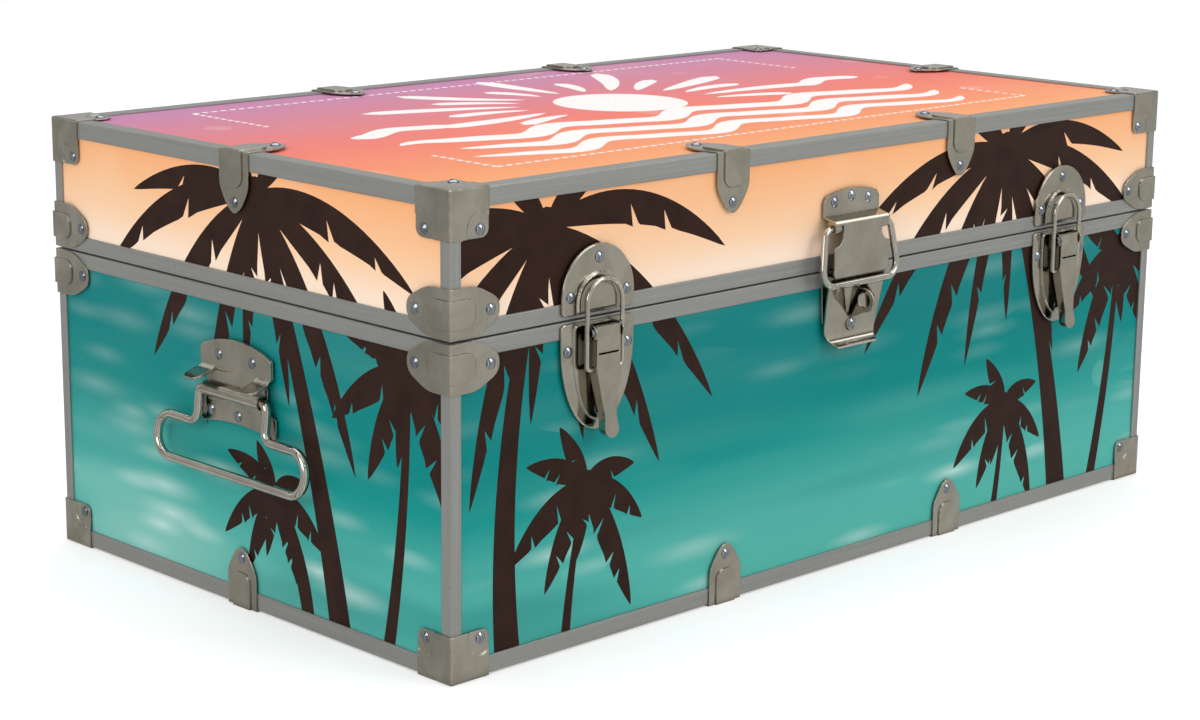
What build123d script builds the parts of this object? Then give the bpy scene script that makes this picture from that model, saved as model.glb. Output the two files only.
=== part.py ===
from build123d import *
from collections import namedtuple
import math
import os

# Footlocker: a plywood trunk with a lid, printed laminate skins, aluminium edge
# extrusions and riveted sheet-steel hardware. Millimetres.
# X runs along the long front, -Y is the front, +Z is up.
# The origin is the bottom centre of the closed trunk's bounding box. The pieces are
# drawn about the middle of the box between its corner caps, and are moved back by
# SHIFT when written, because the padlock eye stands out further than the hinges.

# ---------------------------------------------------------------- dimensions
LENGTH = 812.8          # over the corner caps
WIDTH = 470.0
HEIGHT = 342.9
T_SHEET = 1.2           # stamped steel sheet
T_ANGLE = 1.5           # aluminium extrusion
T_SKIN = 0.8            # laminate
T_PLY = 9.5             # plywood
GAP = 0.05              # working clearance

LEFT_X = -LENGTH / 2    # outer planes of the corner caps
FRONT_Y = -WIDTH / 2
OUT_X = LENGTH / 2 - T_SHEET        # outer planes of the extrusions
OUT_Y = WIDTH / 2 - T_SHEET
OUT_LOW = T_SHEET
OUT_TOP = HEIGHT - T_SHEET
SKIN_X = OUT_X - T_ANGLE            # outer planes of the laminate
SKIN_Y = OUT_Y - T_ANGLE
PLY_X = SKIN_X - T_SKIN             # outer planes of the plywood
PLY_Y = SKIN_Y - T_SKIN
PLY_LOW = OUT_LOW + T_ANGLE
PLY_TOP = OUT_TOP - T_ANGLE - T_SKIN
IN_DEPTH = T_ANGLE + T_SKIN + T_PLY     # extrusion face to inner plywood face
RIM_DEPTH = IN_DEPTH + T_ANGLE          # extrusion face to inner rim face

FLANGE = 13.0           # edge angle: flange on the wall
FLANGE_TOP = 13.6       # edge angle: flange on the top or bottom
CORNER_FLANGE = 9.6     # vertical corner angle flange
EDGE_ROUND = 0.9

LID_RIM_LOW = 240.2
LID_RIM_TOP = 252.0
BASE_RIM_TOP = 239.0
BASE_RIM_LOW = 227.0
LID_PLY_LOW = 246.8     # lower edge of the lid boards
BASE_PLY_TOP = 237.4    # upper edge of the base boards

CAP = 35.0              # corner cap leg
CAP_ROUND = 6.5
CAP_DISH = 0.6          # pressed dish round each cap rivet
CAP_RIVET_U = 27.4      # rivet from the cap's upright edge
CAP_RIVET_V = 29.1      # rivet from the top or bottom
CAP_RIVET_X = LENGTH / 2 - CAP_RIVET_U
CAP_RIVET_Y = WIDTH / 2 - CAP_RIVET_U

LEAF = 44.4             # rim corner leg
LEAF_H = 35.2
LEAF_Z = 241.0
LEAF_RIVET = 36.4       # rivet from the corner
RIM_MIRROR_Z = 239.9    # the base rim corners mirror the lid's about this height
LEAF_LID_Z = LEAF_Z + LEAF_H / 2
LEAF_BASE_Z = 2 * RIM_MIRROR_Z - LEAF_LID_Z
EMBOSS = 1.1            # raised pads on rim corners and clamps

CLAMP_W = 34.0
CLAMP_LEG = 46.0
CLAMP_X = 133.0
CLAMP_RIVET = 38.0      # rivet from the fold

LATCH_X = 270.0
KEEPER_T = 2.6
LATCH_PLATE_T = 2.0
LATCH_PANEL_H = 1.0     # raised panel on the latch plate
LATCH_PIVOT_OUT = 9.5   # lever axis in front of the extrusions
LATCH_PIVOT_Z = 230.5
LATCH_PIN_R = 1.95
LATCH_EAR_X = 12.2      # inner faces of the ears, from the latch's middle
LATCH_EAR_T = 1.5
BAIL_R = 1.75
BAIL_OUT = 8.6
BAIL_PIVOT_Z = 204.0
BAIL_END = 9.4          # wire ends from the latch's middle
BAIL_HALF = 17.0
ARCH_Z = 250.5          # centre of the bail's arch

COVER_T = 1.6
RING_R = 2.75
RING_OUT = 8.5
RING_Z = 273.5
RING_END = 21.6         # wire ends from the middle
RING_TILT = math.atan2(4.5, 43.2)
STRIKE_T = 1.8
STRIKE_SEAT = 5.2       # seat of the strike's lower rivet
STRIKE_RIVET_Z = 196.4
EYE_OUT = 19.0          # centre of the padlock eye
EYE_Z = 216.5
EYE_R = 9.2
EYE_SIDE = 2.6          # the eye's left face, from the middle
EYE_HOLE_R = 5.7

HANDLE_T = 1.6          # each handle plate
HANDLE_R = 3.5
HANDLE_OUT = 5.7
HANDLE_Z = 163.0
HANDLE_TILT = math.radians(6.0)
SHELF_IN = 24.4         # stop shelf, from the middle of the end
SHELF_OUT = 43.0

HINGE_X = (-260.0, 0.0, 260.0)
HINGE_Y = OUT_Y + 3.3   # hinge axis behind the back extrusion
HINGE_Z = 240.0
HINGE_PIN_R = 1.95
HINGE_R = 3.2
HINGE_W = 64.0
HINGE_RIVET_STEP = 22.0
HINGE_LID_RIVET_Z = 260.5
HINGE_BASE_RIVET_Z = 218.5
KNUCKLE = 12.4
KNUCKLE_STEP = (HINGE_W - KNUCKLE) / 4      # five knuckles

RIVET_R = 2.0
RIVET_HOLE = RIVET_R + GAP
RIVET_HEAD = 4.2
RIVET_HEAD_H = 2.0
FLUSH_HEAD = 3.7

pieces = {}             # file name: part


# ---------------------------------------------------------------- helpers
def face_plane(face, u=0.0, v=0.0, out=0.0):
    """Plane on an outer face of the extrusion box: local x along the face,
    local y up (or along the box's Y on the top), z outwards."""
    if face == "front":
        return Plane(origin=(u, -OUT_Y - out, v), x_dir=(1, 0, 0), z_dir=(0, -1, 0))
    if face == "back":
        return Plane(origin=(u, OUT_Y + out, v), x_dir=(-1, 0, 0), z_dir=(0, 1, 0))
    if face == "left":
        return Plane(origin=(-OUT_X - out, u, v), x_dir=(0, -1, 0), z_dir=(-1, 0, 0))
    if face == "right":
        return Plane(origin=(OUT_X + out, u, v), x_dir=(0, 1, 0), z_dir=(1, 0, 0))
    if face == "top":
        return Plane(origin=(u, v, OUT_TOP + out), x_dir=(1, 0, 0), z_dir=(0, 0, 1))
    return Plane(origin=(u, v, OUT_LOW - out), x_dir=(1, 0, 0), z_dir=(0, 0, -1))


def front_axis(x, out, z, way=1):
    """Plane square to X, standing out from the front extrusions."""
    return Plane(origin=(x, -OUT_Y - out, z), z_dir=(way, 0, 0))


def stand_off(points, face=OUT_Y):
    """Section points, from (distance out of the face, height)."""
    return [(face + out, z) for out, z in points]


def near(edges, x=None, y=None, z=None, tol=0.02):
    """Edges whose middle lies at the stated coordinates."""
    found = []
    for edge in edges:
        middle = edge.center()
        pairs = ((middle.X, x), (middle.Y, y), (middle.Z, z))
        if all(wanted is None or abs(value - wanted) <= tol for value, wanted in pairs):
            found.append(edge)
    return found


def mirrored(part, about):
    with BuildPart() as copy:
        mirror(part, about=about)
    return copy.part


# ---------------------------------------------------------------- rivet tables
# piece held, face, position along the face, height (Y on top and bottom), seat above
# the extrusion plane, depth below the extrusion plane to the clinched tail
Rivet = namedtuple("Rivet", "piece face u v seat reach", defaults=[IN_DEPTH])

lid_rows = []
base_rows = []
flush_rows = []         # countersunk, in the bottom


def rivet_both(piece, face, u, v, seat):
    """A wall rivet in the lid and its mirror image in the base; v is the base's."""
    lid_rows.append(Rivet(piece, face, u, HEIGHT - v, seat))
    base_rows.append(Rivet(piece, face, u, v, seat))


def rivet_level(piece, x, y, seat):
    """A rivet in the top and a flush one in the bottom."""
    lid_rows.append(Rivet(piece, "top", x, y, seat))
    flush_rows.append(Rivet(piece, "bottom", x, y, T_SHEET))


CAP_SEAT = T_SHEET - CAP_DISH
for face, half, clamps in (
    ("front", LENGTH / 2, (-CLAMP_X, CLAMP_X)), ("back", LENGTH / 2, (-CLAMP_X, CLAMP_X)),
    ("left", WIDTH / 2, (0.0,)), ("right", WIDTH / 2, (0.0,)),
):
    for side in (-1, 1):
        rivet_both("cap", face, side * (half - CAP_RIVET_U), CAP_RIVET_V, CAP_SEAT)
        leaf_u = side * (half - LEAF_RIVET)
        lid_rows.append(Rivet("rim corner", face, leaf_u, LEAF_LID_Z, T_SHEET))
        base_rows.append(Rivet("rim corner", face, leaf_u, LEAF_BASE_Z, T_SHEET))
    for u in clamps:
        rivet_both("clamp", face, u, CLAMP_RIVET, T_SHEET)
for face in ("left", "right"):
    for y in (-20.0, 20.0):
        base_rows.append(Rivet("handle front", face, y, 190.0, 2 * HANDLE_T))
    for y in (-33.0, 0.0, 33.0):
        base_rows.append(Rivet("handle back", face, y, 146.0, HANDLE_T))
for side in (-1, 1):
    for end in (-1, 1):
        rivet_level("cap", side * CAP_RIVET_X, end * CAP_RIVET_Y, CAP_SEAT)
        rivet_level("clamp", side * CLAMP_X, end * (WIDTH / 2 - CLAMP_RIVET), T_SHEET)
    rivet_level("clamp", side * (LENGTH / 2 - CLAMP_RIVET), 0.0, T_SHEET)
for hand, middle in (("left", -LATCH_X), ("right", LATCH_X)):
    for x, z in ((0.0, 282.0), (-27.3, 256.4), (27.3, 256.4)):
        lid_rows.append(Rivet(hand + " keeper", "front", middle + x, z, KEEPER_T))
    for x, z, raised in ((-29.0, 218.0, 0), (29.0, 218.0, 0), (0.0, 174.0, LATCH_PANEL_H)):
        seat = LATCH_PLATE_T + raised
        base_rows.append(Rivet(hand + " latch plate", "front", middle + x, z, seat))
for x, z in ((-19.8, 292.4), (0.0, 295.6), (19.8, 292.4)):
    lid_rows.append(Rivet("lock cover", "front", x, z, COVER_T))
base_rows.append(Rivet("strike seat", "front", 0.0, STRIKE_RIVET_Z, STRIKE_SEAT))
for x in (-21.0, 21.0):
    base_rows.append(Rivet("strike rim", "front", x, 231.1, STRIKE_T, RIM_DEPTH))
for middle in HINGE_X:
    for x in (-HINGE_RIVET_STEP, 0.0, HINGE_RIVET_STEP):
        lid_rows.append(Rivet("hinge", "back", middle + x, HINGE_LID_RIVET_Z, T_SHEET))
        base_rows.append(Rivet("hinge", "back", middle + x, HINGE_BASE_RIVET_Z, T_SHEET))


def spots(rows, piece=None, face=None):
    """Locations on the extrusion plane of the rivets of one piece or face."""
    return [
        face_plane(row.face, row.u, row.v).location
        for row in rows
        if piece in (None, row.piece) and face in (None, row.face)
    ]


FLUSH_SPOTS = [face_plane(row.face, row.u, row.v, row.seat).location for row in flush_rows]


# ---------------------------------------------------------------- panels and skins
def board(size, centre, rows, face):
    """A flat sheet with its rivet holes."""
    with BuildPart() as panel:
        with Locations(centre):
            Box(*size)
        with Locations(*spots(rows, face=face)):
            Hole(radius=RIVET_HOLE, depth=24)
    return panel.part


def walls(half, kind, rows, thick, outer_x, outer_y, low, top):
    """Four upright sheets; the ends fit between the front and the back."""
    height = top - low
    z = (top + low) / 2
    for face, way in (("front", -1), ("back", 1)):
        centre = (0, way * (outer_y - thick / 2), z)
        pieces[f"{half}_{face}_{kind}"] = board((2 * outer_x, thick, height), centre, rows, face)
    for face, way in (("left", -1), ("right", 1)):
        centre = (way * (outer_x - thick / 2), 0, z)
        size = (thick, 2 * (outer_y - thick), height)
        pieces[f"{half}_{face}_{kind}"] = board(size, centre, rows, face)


walls("lid", "panel", lid_rows, T_PLY, PLY_X, PLY_Y, LID_PLY_LOW, PLY_TOP - T_PLY)
walls("base", "panel", base_rows, T_PLY, PLY_X, PLY_Y, PLY_LOW + T_PLY, BASE_PLY_TOP)
walls("lid", "laminate", lid_rows, T_SKIN, SKIN_X, SKIN_Y, LID_PLY_LOW, PLY_TOP)
walls("base", "laminate", base_rows, T_SKIN, SKIN_X, SKIN_Y, PLY_LOW, BASE_PLY_TOP)
PLY_SHEET = (2 * PLY_X, 2 * PLY_Y, T_PLY)
SKIN_SHEET = (2 * SKIN_X, 2 * SKIN_Y, T_SKIN)
pieces["lid_top_panel"] = board(PLY_SHEET, (0, 0, PLY_TOP - T_PLY / 2), lid_rows, "top")
pieces["lid_top_laminate"] = board(SKIN_SHEET, (0, 0, PLY_TOP + T_SKIN / 2), lid_rows, "top")
pieces["base_bottom_panel"] = board(
    PLY_SHEET, (0, 0, PLY_LOW + T_PLY / 2), flush_rows, "bottom"
)

# ---------------------------------------------------------------- extrusions
# Profiles are (distance inwards from the outer plane, height).
EDGE_TOP = [
    (0, OUT_TOP), (FLANGE_TOP, OUT_TOP), (FLANGE_TOP, OUT_TOP - T_ANGLE),
    (T_ANGLE, OUT_TOP - T_ANGLE), (T_ANGLE, OUT_TOP - FLANGE), (0, OUT_TOP - FLANGE),
]
EDGE_LOW = [(u, OUT_LOW + OUT_TOP - z) for u, z in EDGE_TOP]
# the lid rim has a groove over the base rim's tongue
LID_RIM = [
    (0, LID_RIM_LOW), (4.0, LID_RIM_LOW), (4.0, 245.4), (8.0, 245.4), (8.0, LID_RIM_LOW),
    (RIM_DEPTH, LID_RIM_LOW), (RIM_DEPTH, 250.0), (IN_DEPTH, 250.0),
    (IN_DEPTH, LID_RIM_LOW + T_ANGLE), (9.2, LID_RIM_LOW + T_ANGLE), (9.2, 246.6), (2.8, 246.6),
    (2.8, LID_RIM_LOW + T_ANGLE), (T_ANGLE, LID_RIM_LOW + T_ANGLE),
    (T_ANGLE, LID_RIM_TOP), (0, LID_RIM_TOP),
]
BASE_RIM_FLAT = [
    (0, BASE_RIM_TOP), (RIM_DEPTH, BASE_RIM_TOP), (RIM_DEPTH, 229.0), (IN_DEPTH, 229.0),
    (IN_DEPTH, BASE_RIM_TOP - T_ANGLE), (T_ANGLE, BASE_RIM_TOP - T_ANGLE),
    (T_ANGLE, BASE_RIM_LOW), (0, BASE_RIM_LOW),
]
TONGUE = [
    (5.0, BASE_RIM_TOP), (5.0, 243.6), (5.4, 244.0), (6.6, 244.0), (7.0, 243.6),
    (7.0, BASE_RIM_TOP),
]
BASE_RIM = BASE_RIM_FLAT[:1] + TONGUE + BASE_RIM_FLAT[1:]
BASE_RIM_ROUNDED = (BASE_RIM_TOP, BASE_RIM_LOW)


def front_length(profile, rounded):
    """Extrusion along the front, mitred at both ends; its outer corners at the
    heights in rounded are eased."""
    with BuildPart() as bar:
        with BuildSketch(Plane.YZ) as section:
            with BuildLine():
                Polyline([(-OUT_Y + u, z) for u, z in profile], close=True)
            make_face()
            for z in rounded:
                fillet(section.vertices().sort_by_distance((-OUT_Y, z))[0], radius=EDGE_ROUND)
        extrude(amount=OUT_X, both=True)
        left_cut = Plane(origin=(-OUT_X + GAP, -OUT_Y - GAP, 0), z_dir=(1, -1, 0))
        right_cut = Plane(origin=(OUT_X - GAP, -OUT_Y - GAP, 0), z_dir=(-1, -1, 0))
        split(bisect_by=left_cut, keep=Keep.TOP)
        split(bisect_by=right_cut, keep=Keep.TOP)
    return bar.part


def end_lengths(profile, rounded):
    """The two extrusions across the ends, mitred at both ends."""
    with BuildPart() as bar:
        with BuildSketch(Plane.XZ) as section:
            with BuildLine():
                Polyline([(-OUT_X + u, z) for u, z in profile], close=True)
            make_face()
            for z in rounded:
                fillet(section.vertices().sort_by_distance((-OUT_X, z))[0], radius=EDGE_ROUND)
        extrude(amount=OUT_Y, both=True)
        front_cut = Plane(origin=(-OUT_X - GAP, -OUT_Y + GAP, 0), z_dir=(-1, 1, 0))
        back_cut = Plane(origin=(-OUT_X - GAP, OUT_Y - GAP, 0), z_dir=(-1, -1, 0))
        split(bisect_by=front_cut, keep=Keep.TOP)
        split(bisect_by=back_cut, keep=Keep.TOP)
        mirror(about=Plane.YZ)
    return bar.part


for name, profile, rounded in (
    ("lid_edge", EDGE_TOP, (OUT_TOP,)),
    ("base_edge", EDGE_LOW, (OUT_LOW,)),
    ("lid_rim", LID_RIM, (LID_RIM_LOW, LID_RIM_TOP)),
):
    pieces[name + "_front"] = front_length(profile, rounded)
    pieces[name + "_back"] = mirrored(pieces[name + "_front"], Plane.XZ)
    pieces[name + "_ends"] = end_lengths(profile, rounded)

with BuildPart() as base_rim_front:
    add(front_length(BASE_RIM, BASE_RIM_ROUNDED))
    with Locations(*spots(base_rows, "strike rim")):
        Hole(radius=RIVET_HOLE, depth=24)
pieces["base_rim_front"] = base_rim_front.part

# the back rim has no tongue
pieces["base_rim_back"] = mirrored(front_length(BASE_RIM_FLAT, BASE_RIM_ROUNDED), Plane.XZ)

with BuildPart() as base_rim_ends:
    add(end_lengths(BASE_RIM, BASE_RIM_ROUNDED))
    # the end tongues stop short of the hinge side
    with Locations((0, OUT_Y, 242.0)):
        Box(2 * OUT_X + 10, 70.0, 6.0, mode=Mode.SUBTRACT)
pieces["base_rim_ends"] = base_rim_ends.part


def corner_angles(low, high):
    """The four vertical corner angles between two heights."""
    with BuildPart() as angles:
        with BuildSketch(Plane.XY.offset(low)) as section:
            with BuildLine():
                Polyline(
                    (-OUT_X, -OUT_Y),
                    (-OUT_X + CORNER_FLANGE, -OUT_Y),
                    (-OUT_X + CORNER_FLANGE, -OUT_Y + T_ANGLE),
                    (-OUT_X + T_ANGLE, -OUT_Y + T_ANGLE),
                    (-OUT_X + T_ANGLE, -OUT_Y + CORNER_FLANGE),
                    (-OUT_X, -OUT_Y + CORNER_FLANGE),
                    close=True,
                )
            make_face()
            fillet(section.vertices().sort_by_distance((-OUT_X, -OUT_Y))[0], radius=EDGE_ROUND)
        extrude(amount=high - low)
        mirror(about=Plane.YZ)
        mirror(about=Plane.XZ)
    return angles.part


ANGLE_GAP = 0.2         # between the corner angles and the flanges
pieces["lid_corner_angles"] = corner_angles(
    LID_RIM_TOP + ANGLE_GAP, OUT_TOP - FLANGE - ANGLE_GAP
)
pieces["base_corner_angles"] = corner_angles(
    OUT_LOW + FLANGE + ANGLE_GAP, BASE_RIM_LOW - ANGLE_GAP
)

# ---------------------------------------------------------------- corner caps
DISH_START = 8          # the dish keeps this far from the cap's folds
DISH_IN_R = 11.6        # pressed in on the inner face
DISH_OUT_R = 12.4       # mouth on the outer face


def corner_cap():
    """The lid's front left cap, without rivet holes."""
    with BuildPart() as cap:
        # sketch plane, corner, signed leg height, outward sense of the plane's normal
        for plane, u0, v0, leg_v, out in (
            (Plane.XZ.offset(OUT_Y), LEFT_X, HEIGHT, -CAP, 1),
            (Plane.YZ.offset(-OUT_X), FRONT_Y, HEIGHT, -CAP, -1),
            (Plane.XY.offset(OUT_TOP), LEFT_X, FRONT_Y, CAP, 1),
        ):
            rivet_v = -CAP_RIVET_V if leg_v < 0 else CAP_RIVET_U
            rivet_at = (u0 + CAP_RIVET_U, v0 + rivet_v)
            tip = (u0 + CAP, v0 + leg_v)
            with BuildSketch(plane) as leg:
                with BuildLine():
                    Polyline((u0, v0), (u0 + CAP, v0), tip, (u0, v0 + leg_v), close=True)
                make_face()
                fillet(leg.vertices().sort_by_distance(tip)[0], radius=CAP_ROUND)
            extrude(amount=out * T_SHEET)
            # the dish pressed round the rivet
            dish_u = u0 + DISH_START
            dish_v = v0 + math.copysign(DISH_START, leg_v)
            with BuildSketch(plane) as dish:
                with BuildLine():
                    Polyline(
                        (dish_u, dish_v), (u0 + CAP, dish_v), tip, (dish_u, v0 + leg_v), close=True
                    )
                make_face()
                fillet(dish.vertices().sort_by_distance(tip)[0], radius=CAP_ROUND)
                with Locations(rivet_at):
                    Circle(DISH_IN_R, mode=Mode.INTERSECT)
            extrude(amount=-out * CAP_DISH)
            with BuildSketch(plane.offset(out * T_SHEET)):
                with Locations(rivet_at):
                    Circle(DISH_OUT_R)
            extrude(amount=-out * CAP_DISH, taper=40, mode=Mode.SUBTRACT)
        outer = (
            near(cap.edges().filter_by(Axis.Z), x=LEFT_X, y=FRONT_Y)
            + near(cap.edges().filter_by(Axis.X), y=FRONT_Y, z=HEIGHT)
            + near(cap.edges().filter_by(Axis.Y), x=LEFT_X, z=HEIGHT)
        )
        fillet(outer, radius=1.5)
    return cap.part


def countersink():
    """Cutter for a flush rivet's hole, face at z = 0."""
    mouth = FLUSH_HEAD + 0.06
    with BuildPart() as sink:
        with BuildSketch(Plane.XZ):
            with BuildLine():
                Polyline(
                    (0, 0.2), (mouth, 0.2), (mouth, 0), (RIVET_HOLE, -T_SHEET),
                    (RIVET_HOLE, -2 * T_SHEET), (0, -2 * T_SHEET), close=True,
                )
            make_face()
        revolve(axis=Axis.Z)
    return sink.part


flush_sink = countersink()

with BuildPart() as lid_corner_caps:
    add(corner_cap())
    mirror(about=Plane.YZ)
    mirror(about=Plane.XZ)
    with Locations(*spots(lid_rows, "cap")):
        Hole(radius=RIVET_HOLE, depth=6)
pieces["lid_corner_caps"] = lid_corner_caps.part

# the base caps have flat under legs with countersunk holes
with BuildPart() as base_corner_caps:
    mirror(lid_corner_caps.part, about=Plane.XY.offset(HEIGHT / 2))
    for side in (-1, 1):
        for end in (-1, 1):
            # fill the dish, then clear what it pressed inwards
            with BuildSketch(Plane.XY):
                with Locations((side * CAP_RIVET_X, end * CAP_RIVET_Y)):
                    Circle(12.5)
                with Locations((side * (LENGTH / 2 - CAP / 2), end * (WIDTH / 2 - CAP / 2))):
                    RectangleRounded(CAP, CAP, CAP_ROUND, mode=Mode.INTERSECT)
            extrude(amount=T_SHEET)
            with BuildSketch(Plane.XY.offset(T_SHEET)):
                with Locations((side * CAP_RIVET_X, end * CAP_RIVET_Y)):
                    Circle(14.0)
            extrude(amount=CAP_DISH + 0.4, mode=Mode.SUBTRACT)
    with Locations(*FLUSH_SPOTS):
        add(flush_sink, mode=Mode.SUBTRACT)
pieces["base_corner_caps"] = base_corner_caps.part


# ---------------------------------------------------------------- rim corners
def rim_corner():
    """The lid's front left rim corner: two leaves with a raised pad over the fold."""
    straight = 17           # the leaf's straight edges, from the fold
    bend_u = 35.5           # point on the curved tip
    bend_v = 6.2
    low = LEAF_Z
    middle = LEAF_Z + LEAF_H / 2
    high = LEAF_Z + LEAF_H
    pad_low = LEAF_Z + 7.3
    pad_high = LEAF_Z + LEAF_H - 7.9
    with BuildPart() as corner:
        for plane, u0, out in (
            (Plane.XZ.offset(OUT_Y), LEFT_X, 1), (Plane.YZ.offset(-OUT_X), FRONT_Y, -1),
        ):
            with BuildSketch(plane):
                with BuildLine():
                    Line((u0 + straight, low), (u0, low))
                    Line((u0, low), (u0, high))
                    Line((u0, high), (u0 + straight, high))
                    Spline(
                        (u0 + straight, high), (u0 + bend_u, high - bend_v), (u0 + LEAF, middle),
                        tangents=((1, 0), (0, -1)),
                    )
                    Spline(
                        (u0 + LEAF, middle), (u0 + bend_u, low + bend_v), (u0 + straight, low),
                        tangents=((0, -1), (-1, 0)),
                    )
                make_face()
            extrude(amount=out * T_SHEET)
            with BuildSketch(plane.offset(out * T_SHEET)) as pad:
                with BuildLine():
                    Polyline(
                        (u0 - EMBOSS, pad_low), (u0 + 22, pad_low),
                        (u0 + 22, pad_high), (u0 - EMBOSS, pad_high), close=True,
                    )
                make_face()
                tips = pad.vertices().sort_by_distance((u0 + 22, LEAF_Z + 17))[0:2]
                fillet(tips, radius=7.5)
            extrude(amount=out * EMBOSS)
        fillet(
            near(corner.edges().filter_by(Axis.Z), x=LEFT_X, y=FRONT_Y)
            + near(corner.edges().filter_by(Axis.Z), x=LEFT_X - EMBOSS, y=FRONT_Y - EMBOSS),
            radius=1.0,
        )
    return corner.part


with BuildPart() as lid_rim_corners:
    add(rim_corner())
    mirror(about=Plane.YZ)
    mirror(about=Plane.XZ)
    with Locations(*spots(lid_rows, "rim corner")):
        Hole(radius=RIVET_HOLE, depth=6)
pieces["lid_rim_corners"] = lid_rim_corners.part
pieces["base_rim_corners"] = mirrored(lid_rim_corners.part, Plane.XY.offset(RIM_MIRROR_Z))


# ---------------------------------------------------------------- edge clamps
def clamp_leg(plane, v0, way, out):
    """One ogive-tipped clamp leg: v0 is the fold, way its direction."""
    half = CLAMP_W / 2
    shoulder = v0 + way * 22
    flank = v0 + way * 35
    nose = v0 + way * 45
    with BuildPart() as leg:
        with BuildSketch(plane):
            with BuildLine():
                Line((-half, shoulder), (-half, v0))
                Line((-half, v0), (half, v0))
                Line((half, v0), (half, shoulder))
                Spline(
                    (half, shoulder), (12.4, flank), (3.4, nose),
                    tangents=((0, way), (-0.86, way * 0.5)),
                )
                ThreePointArc((3.4, nose), (0, v0 + way * CLAMP_LEG), (-3.4, nose))
                Spline(
                    (-3.4, nose), (-12.4, flank), (-half, shoulder),
                    tangents=((-0.86, -way * 0.5), (0, -way)),
                )
            make_face()
        extrude(amount=out * T_SHEET)
    return leg.part


def clamp_pad(plane, v0, way, start):
    """The raised U that stiffens the leg; it starts this far beyond the fold."""
    end = v0 + way * 27
    with BuildPart() as raised:
        with BuildSketch(plane) as pad:
            with BuildLine():
                Polyline(
                    (-10, v0 - way * start), (10, v0 - way * start), (10, end), (-10, end),
                    close=True,
                )
            make_face()
            fillet(pad.vertices().sort_by_distance((0, end))[0:2], radius=8)
        extrude(amount=EMBOSS)
    return raised.part


def edge_clamps(clamp, rows):
    """Six clamps round the trunk, from the front one, with their domed rivets' holes."""
    end_shift = OUT_X - OUT_Y
    with BuildPart() as clamps:
        with Locations((-CLAMP_X, 0, 0), (CLAMP_X, 0, 0)):
            add(clamp)
        mirror(about=Plane.XZ)
        with Locations(Location((-end_shift, 0, 0), (0, 0, -90))):
            add(clamp)
        with Locations(Location((end_shift, 0, 0), (0, 0, 90))):
            add(clamp)
        with Locations(*spots(rows, "clamp")):
            Hole(radius=RIVET_HOLE, depth=6)
    return clamps.part


with BuildPart() as lid_clamp:
    add(clamp_leg(Plane.XZ.offset(OUT_Y), HEIGHT, -1, 1))
    add(clamp_leg(Plane.XY.offset(OUT_TOP), FRONT_Y, 1, 1))
    add(clamp_pad(Plane.XZ.offset(OUT_Y + T_SHEET), HEIGHT, -1, EMBOSS))
    add(clamp_pad(Plane.XY.offset(HEIGHT), FRONT_Y, 1, EMBOSS))
    fillet(
        near(lid_clamp.edges().filter_by(Axis.X), y=FRONT_Y, z=HEIGHT)
        + near(lid_clamp.edges().filter_by(Axis.X), y=FRONT_Y - EMBOSS, z=HEIGHT + EMBOSS),
        radius=1.0,
    )
pieces["lid_edge_clamps"] = edge_clamps(lid_clamp.part, lid_rows)

# the base clamps have flat, countersunk under legs
with BuildPart() as base_clamp:
    add(clamp_leg(Plane.XZ.offset(OUT_Y), 0, 1, 1))
    add(clamp_leg(Plane.XY.offset(OUT_LOW), FRONT_Y, 1, -1))
    add(clamp_pad(Plane.XZ.offset(OUT_Y + T_SHEET), 0, 1, 0))
    fillet(near(base_clamp.edges().filter_by(Axis.X), y=FRONT_Y, z=0), radius=1.0)
with BuildPart() as base_edge_clamps:
    add(edge_clamps(base_clamp.part, base_rows))
    with Locations(*FLUSH_SPOTS):
        add(flush_sink, mode=Mode.SUBTRACT)
pieces["base_edge_clamps"] = base_edge_clamps.part

# ---------------------------------------------------------------- draw latches
# The left latch is drawn; the right one mirrors it.
LATCH_FACE = face_plane("front", -LATCH_X)
LATCH_SIDE = Plane(origin=(-LATCH_X, 0, 0), x_dir=(0, -1, 0), z_dir=(-1, 0, 0))
LATCH_AXIS = front_axis(-LATCH_X, LATCH_PIVOT_OUT, LATCH_PIVOT_Z)


def latch_keeper():
    """Domed keeper plate on the lid, a pressed pan with a stepped boss."""
    half = 35
    rise = 36.5
    low = 243
    spring = 255            # where the sides meet the elliptical top
    wall = 1.4
    with BuildPart() as keeper:
        with BuildSketch(LATCH_FACE) as outline:
            with BuildLine():
                Polyline((-half, spring), (-half, low), (half, low), (half, spring))
                EllipticalCenterArc((0, spring), half, rise, start_angle=0, arc_size=180)
            make_face()
            fillet(outline.vertices().sort_by(Axis.Y)[0:2], radius=4)
        extrude(amount=KEEPER_T)
        fillet(near(keeper.edges(), y=-OUT_Y - KEEPER_T), radius=1.2)
        # hollow back
        inner = half - wall
        with BuildSketch(LATCH_FACE):
            with BuildLine():
                Polyline(
                    (-inner, spring), (-inner, low + wall), (inner, low + wall), (inner, spring)
                )
                EllipticalCenterArc((0, spring), inner, rise - wall, start_angle=0, arc_size=180)
            make_face()
        extrude(amount=1.3, mode=Mode.SUBTRACT)
        # boss steps: arch radius, lower edge, start, height, taper
        for radius, foot, start, step, taper in (
            (21.5, 244.3, KEEPER_T, 1.5, 35), (15.6, 245.4, KEEPER_T + 1.5, 1.9, 38),
        ):
            with BuildSketch(LATCH_FACE.offset(start)):
                with BuildLine():
                    Polyline((-radius, ARCH_Z), (-radius, foot), (radius, foot), (radius, ARCH_Z))
                    ThreePointArc((radius, ARCH_Z), (0, ARCH_Z + radius), (-radius, ARCH_Z))
                make_face()
            extrude(amount=step, taper=taper)
        with Locations(*spots(lid_rows, "left keeper")):
            Hole(radius=RIVET_HOLE, depth=6)
    return keeper.part


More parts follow.
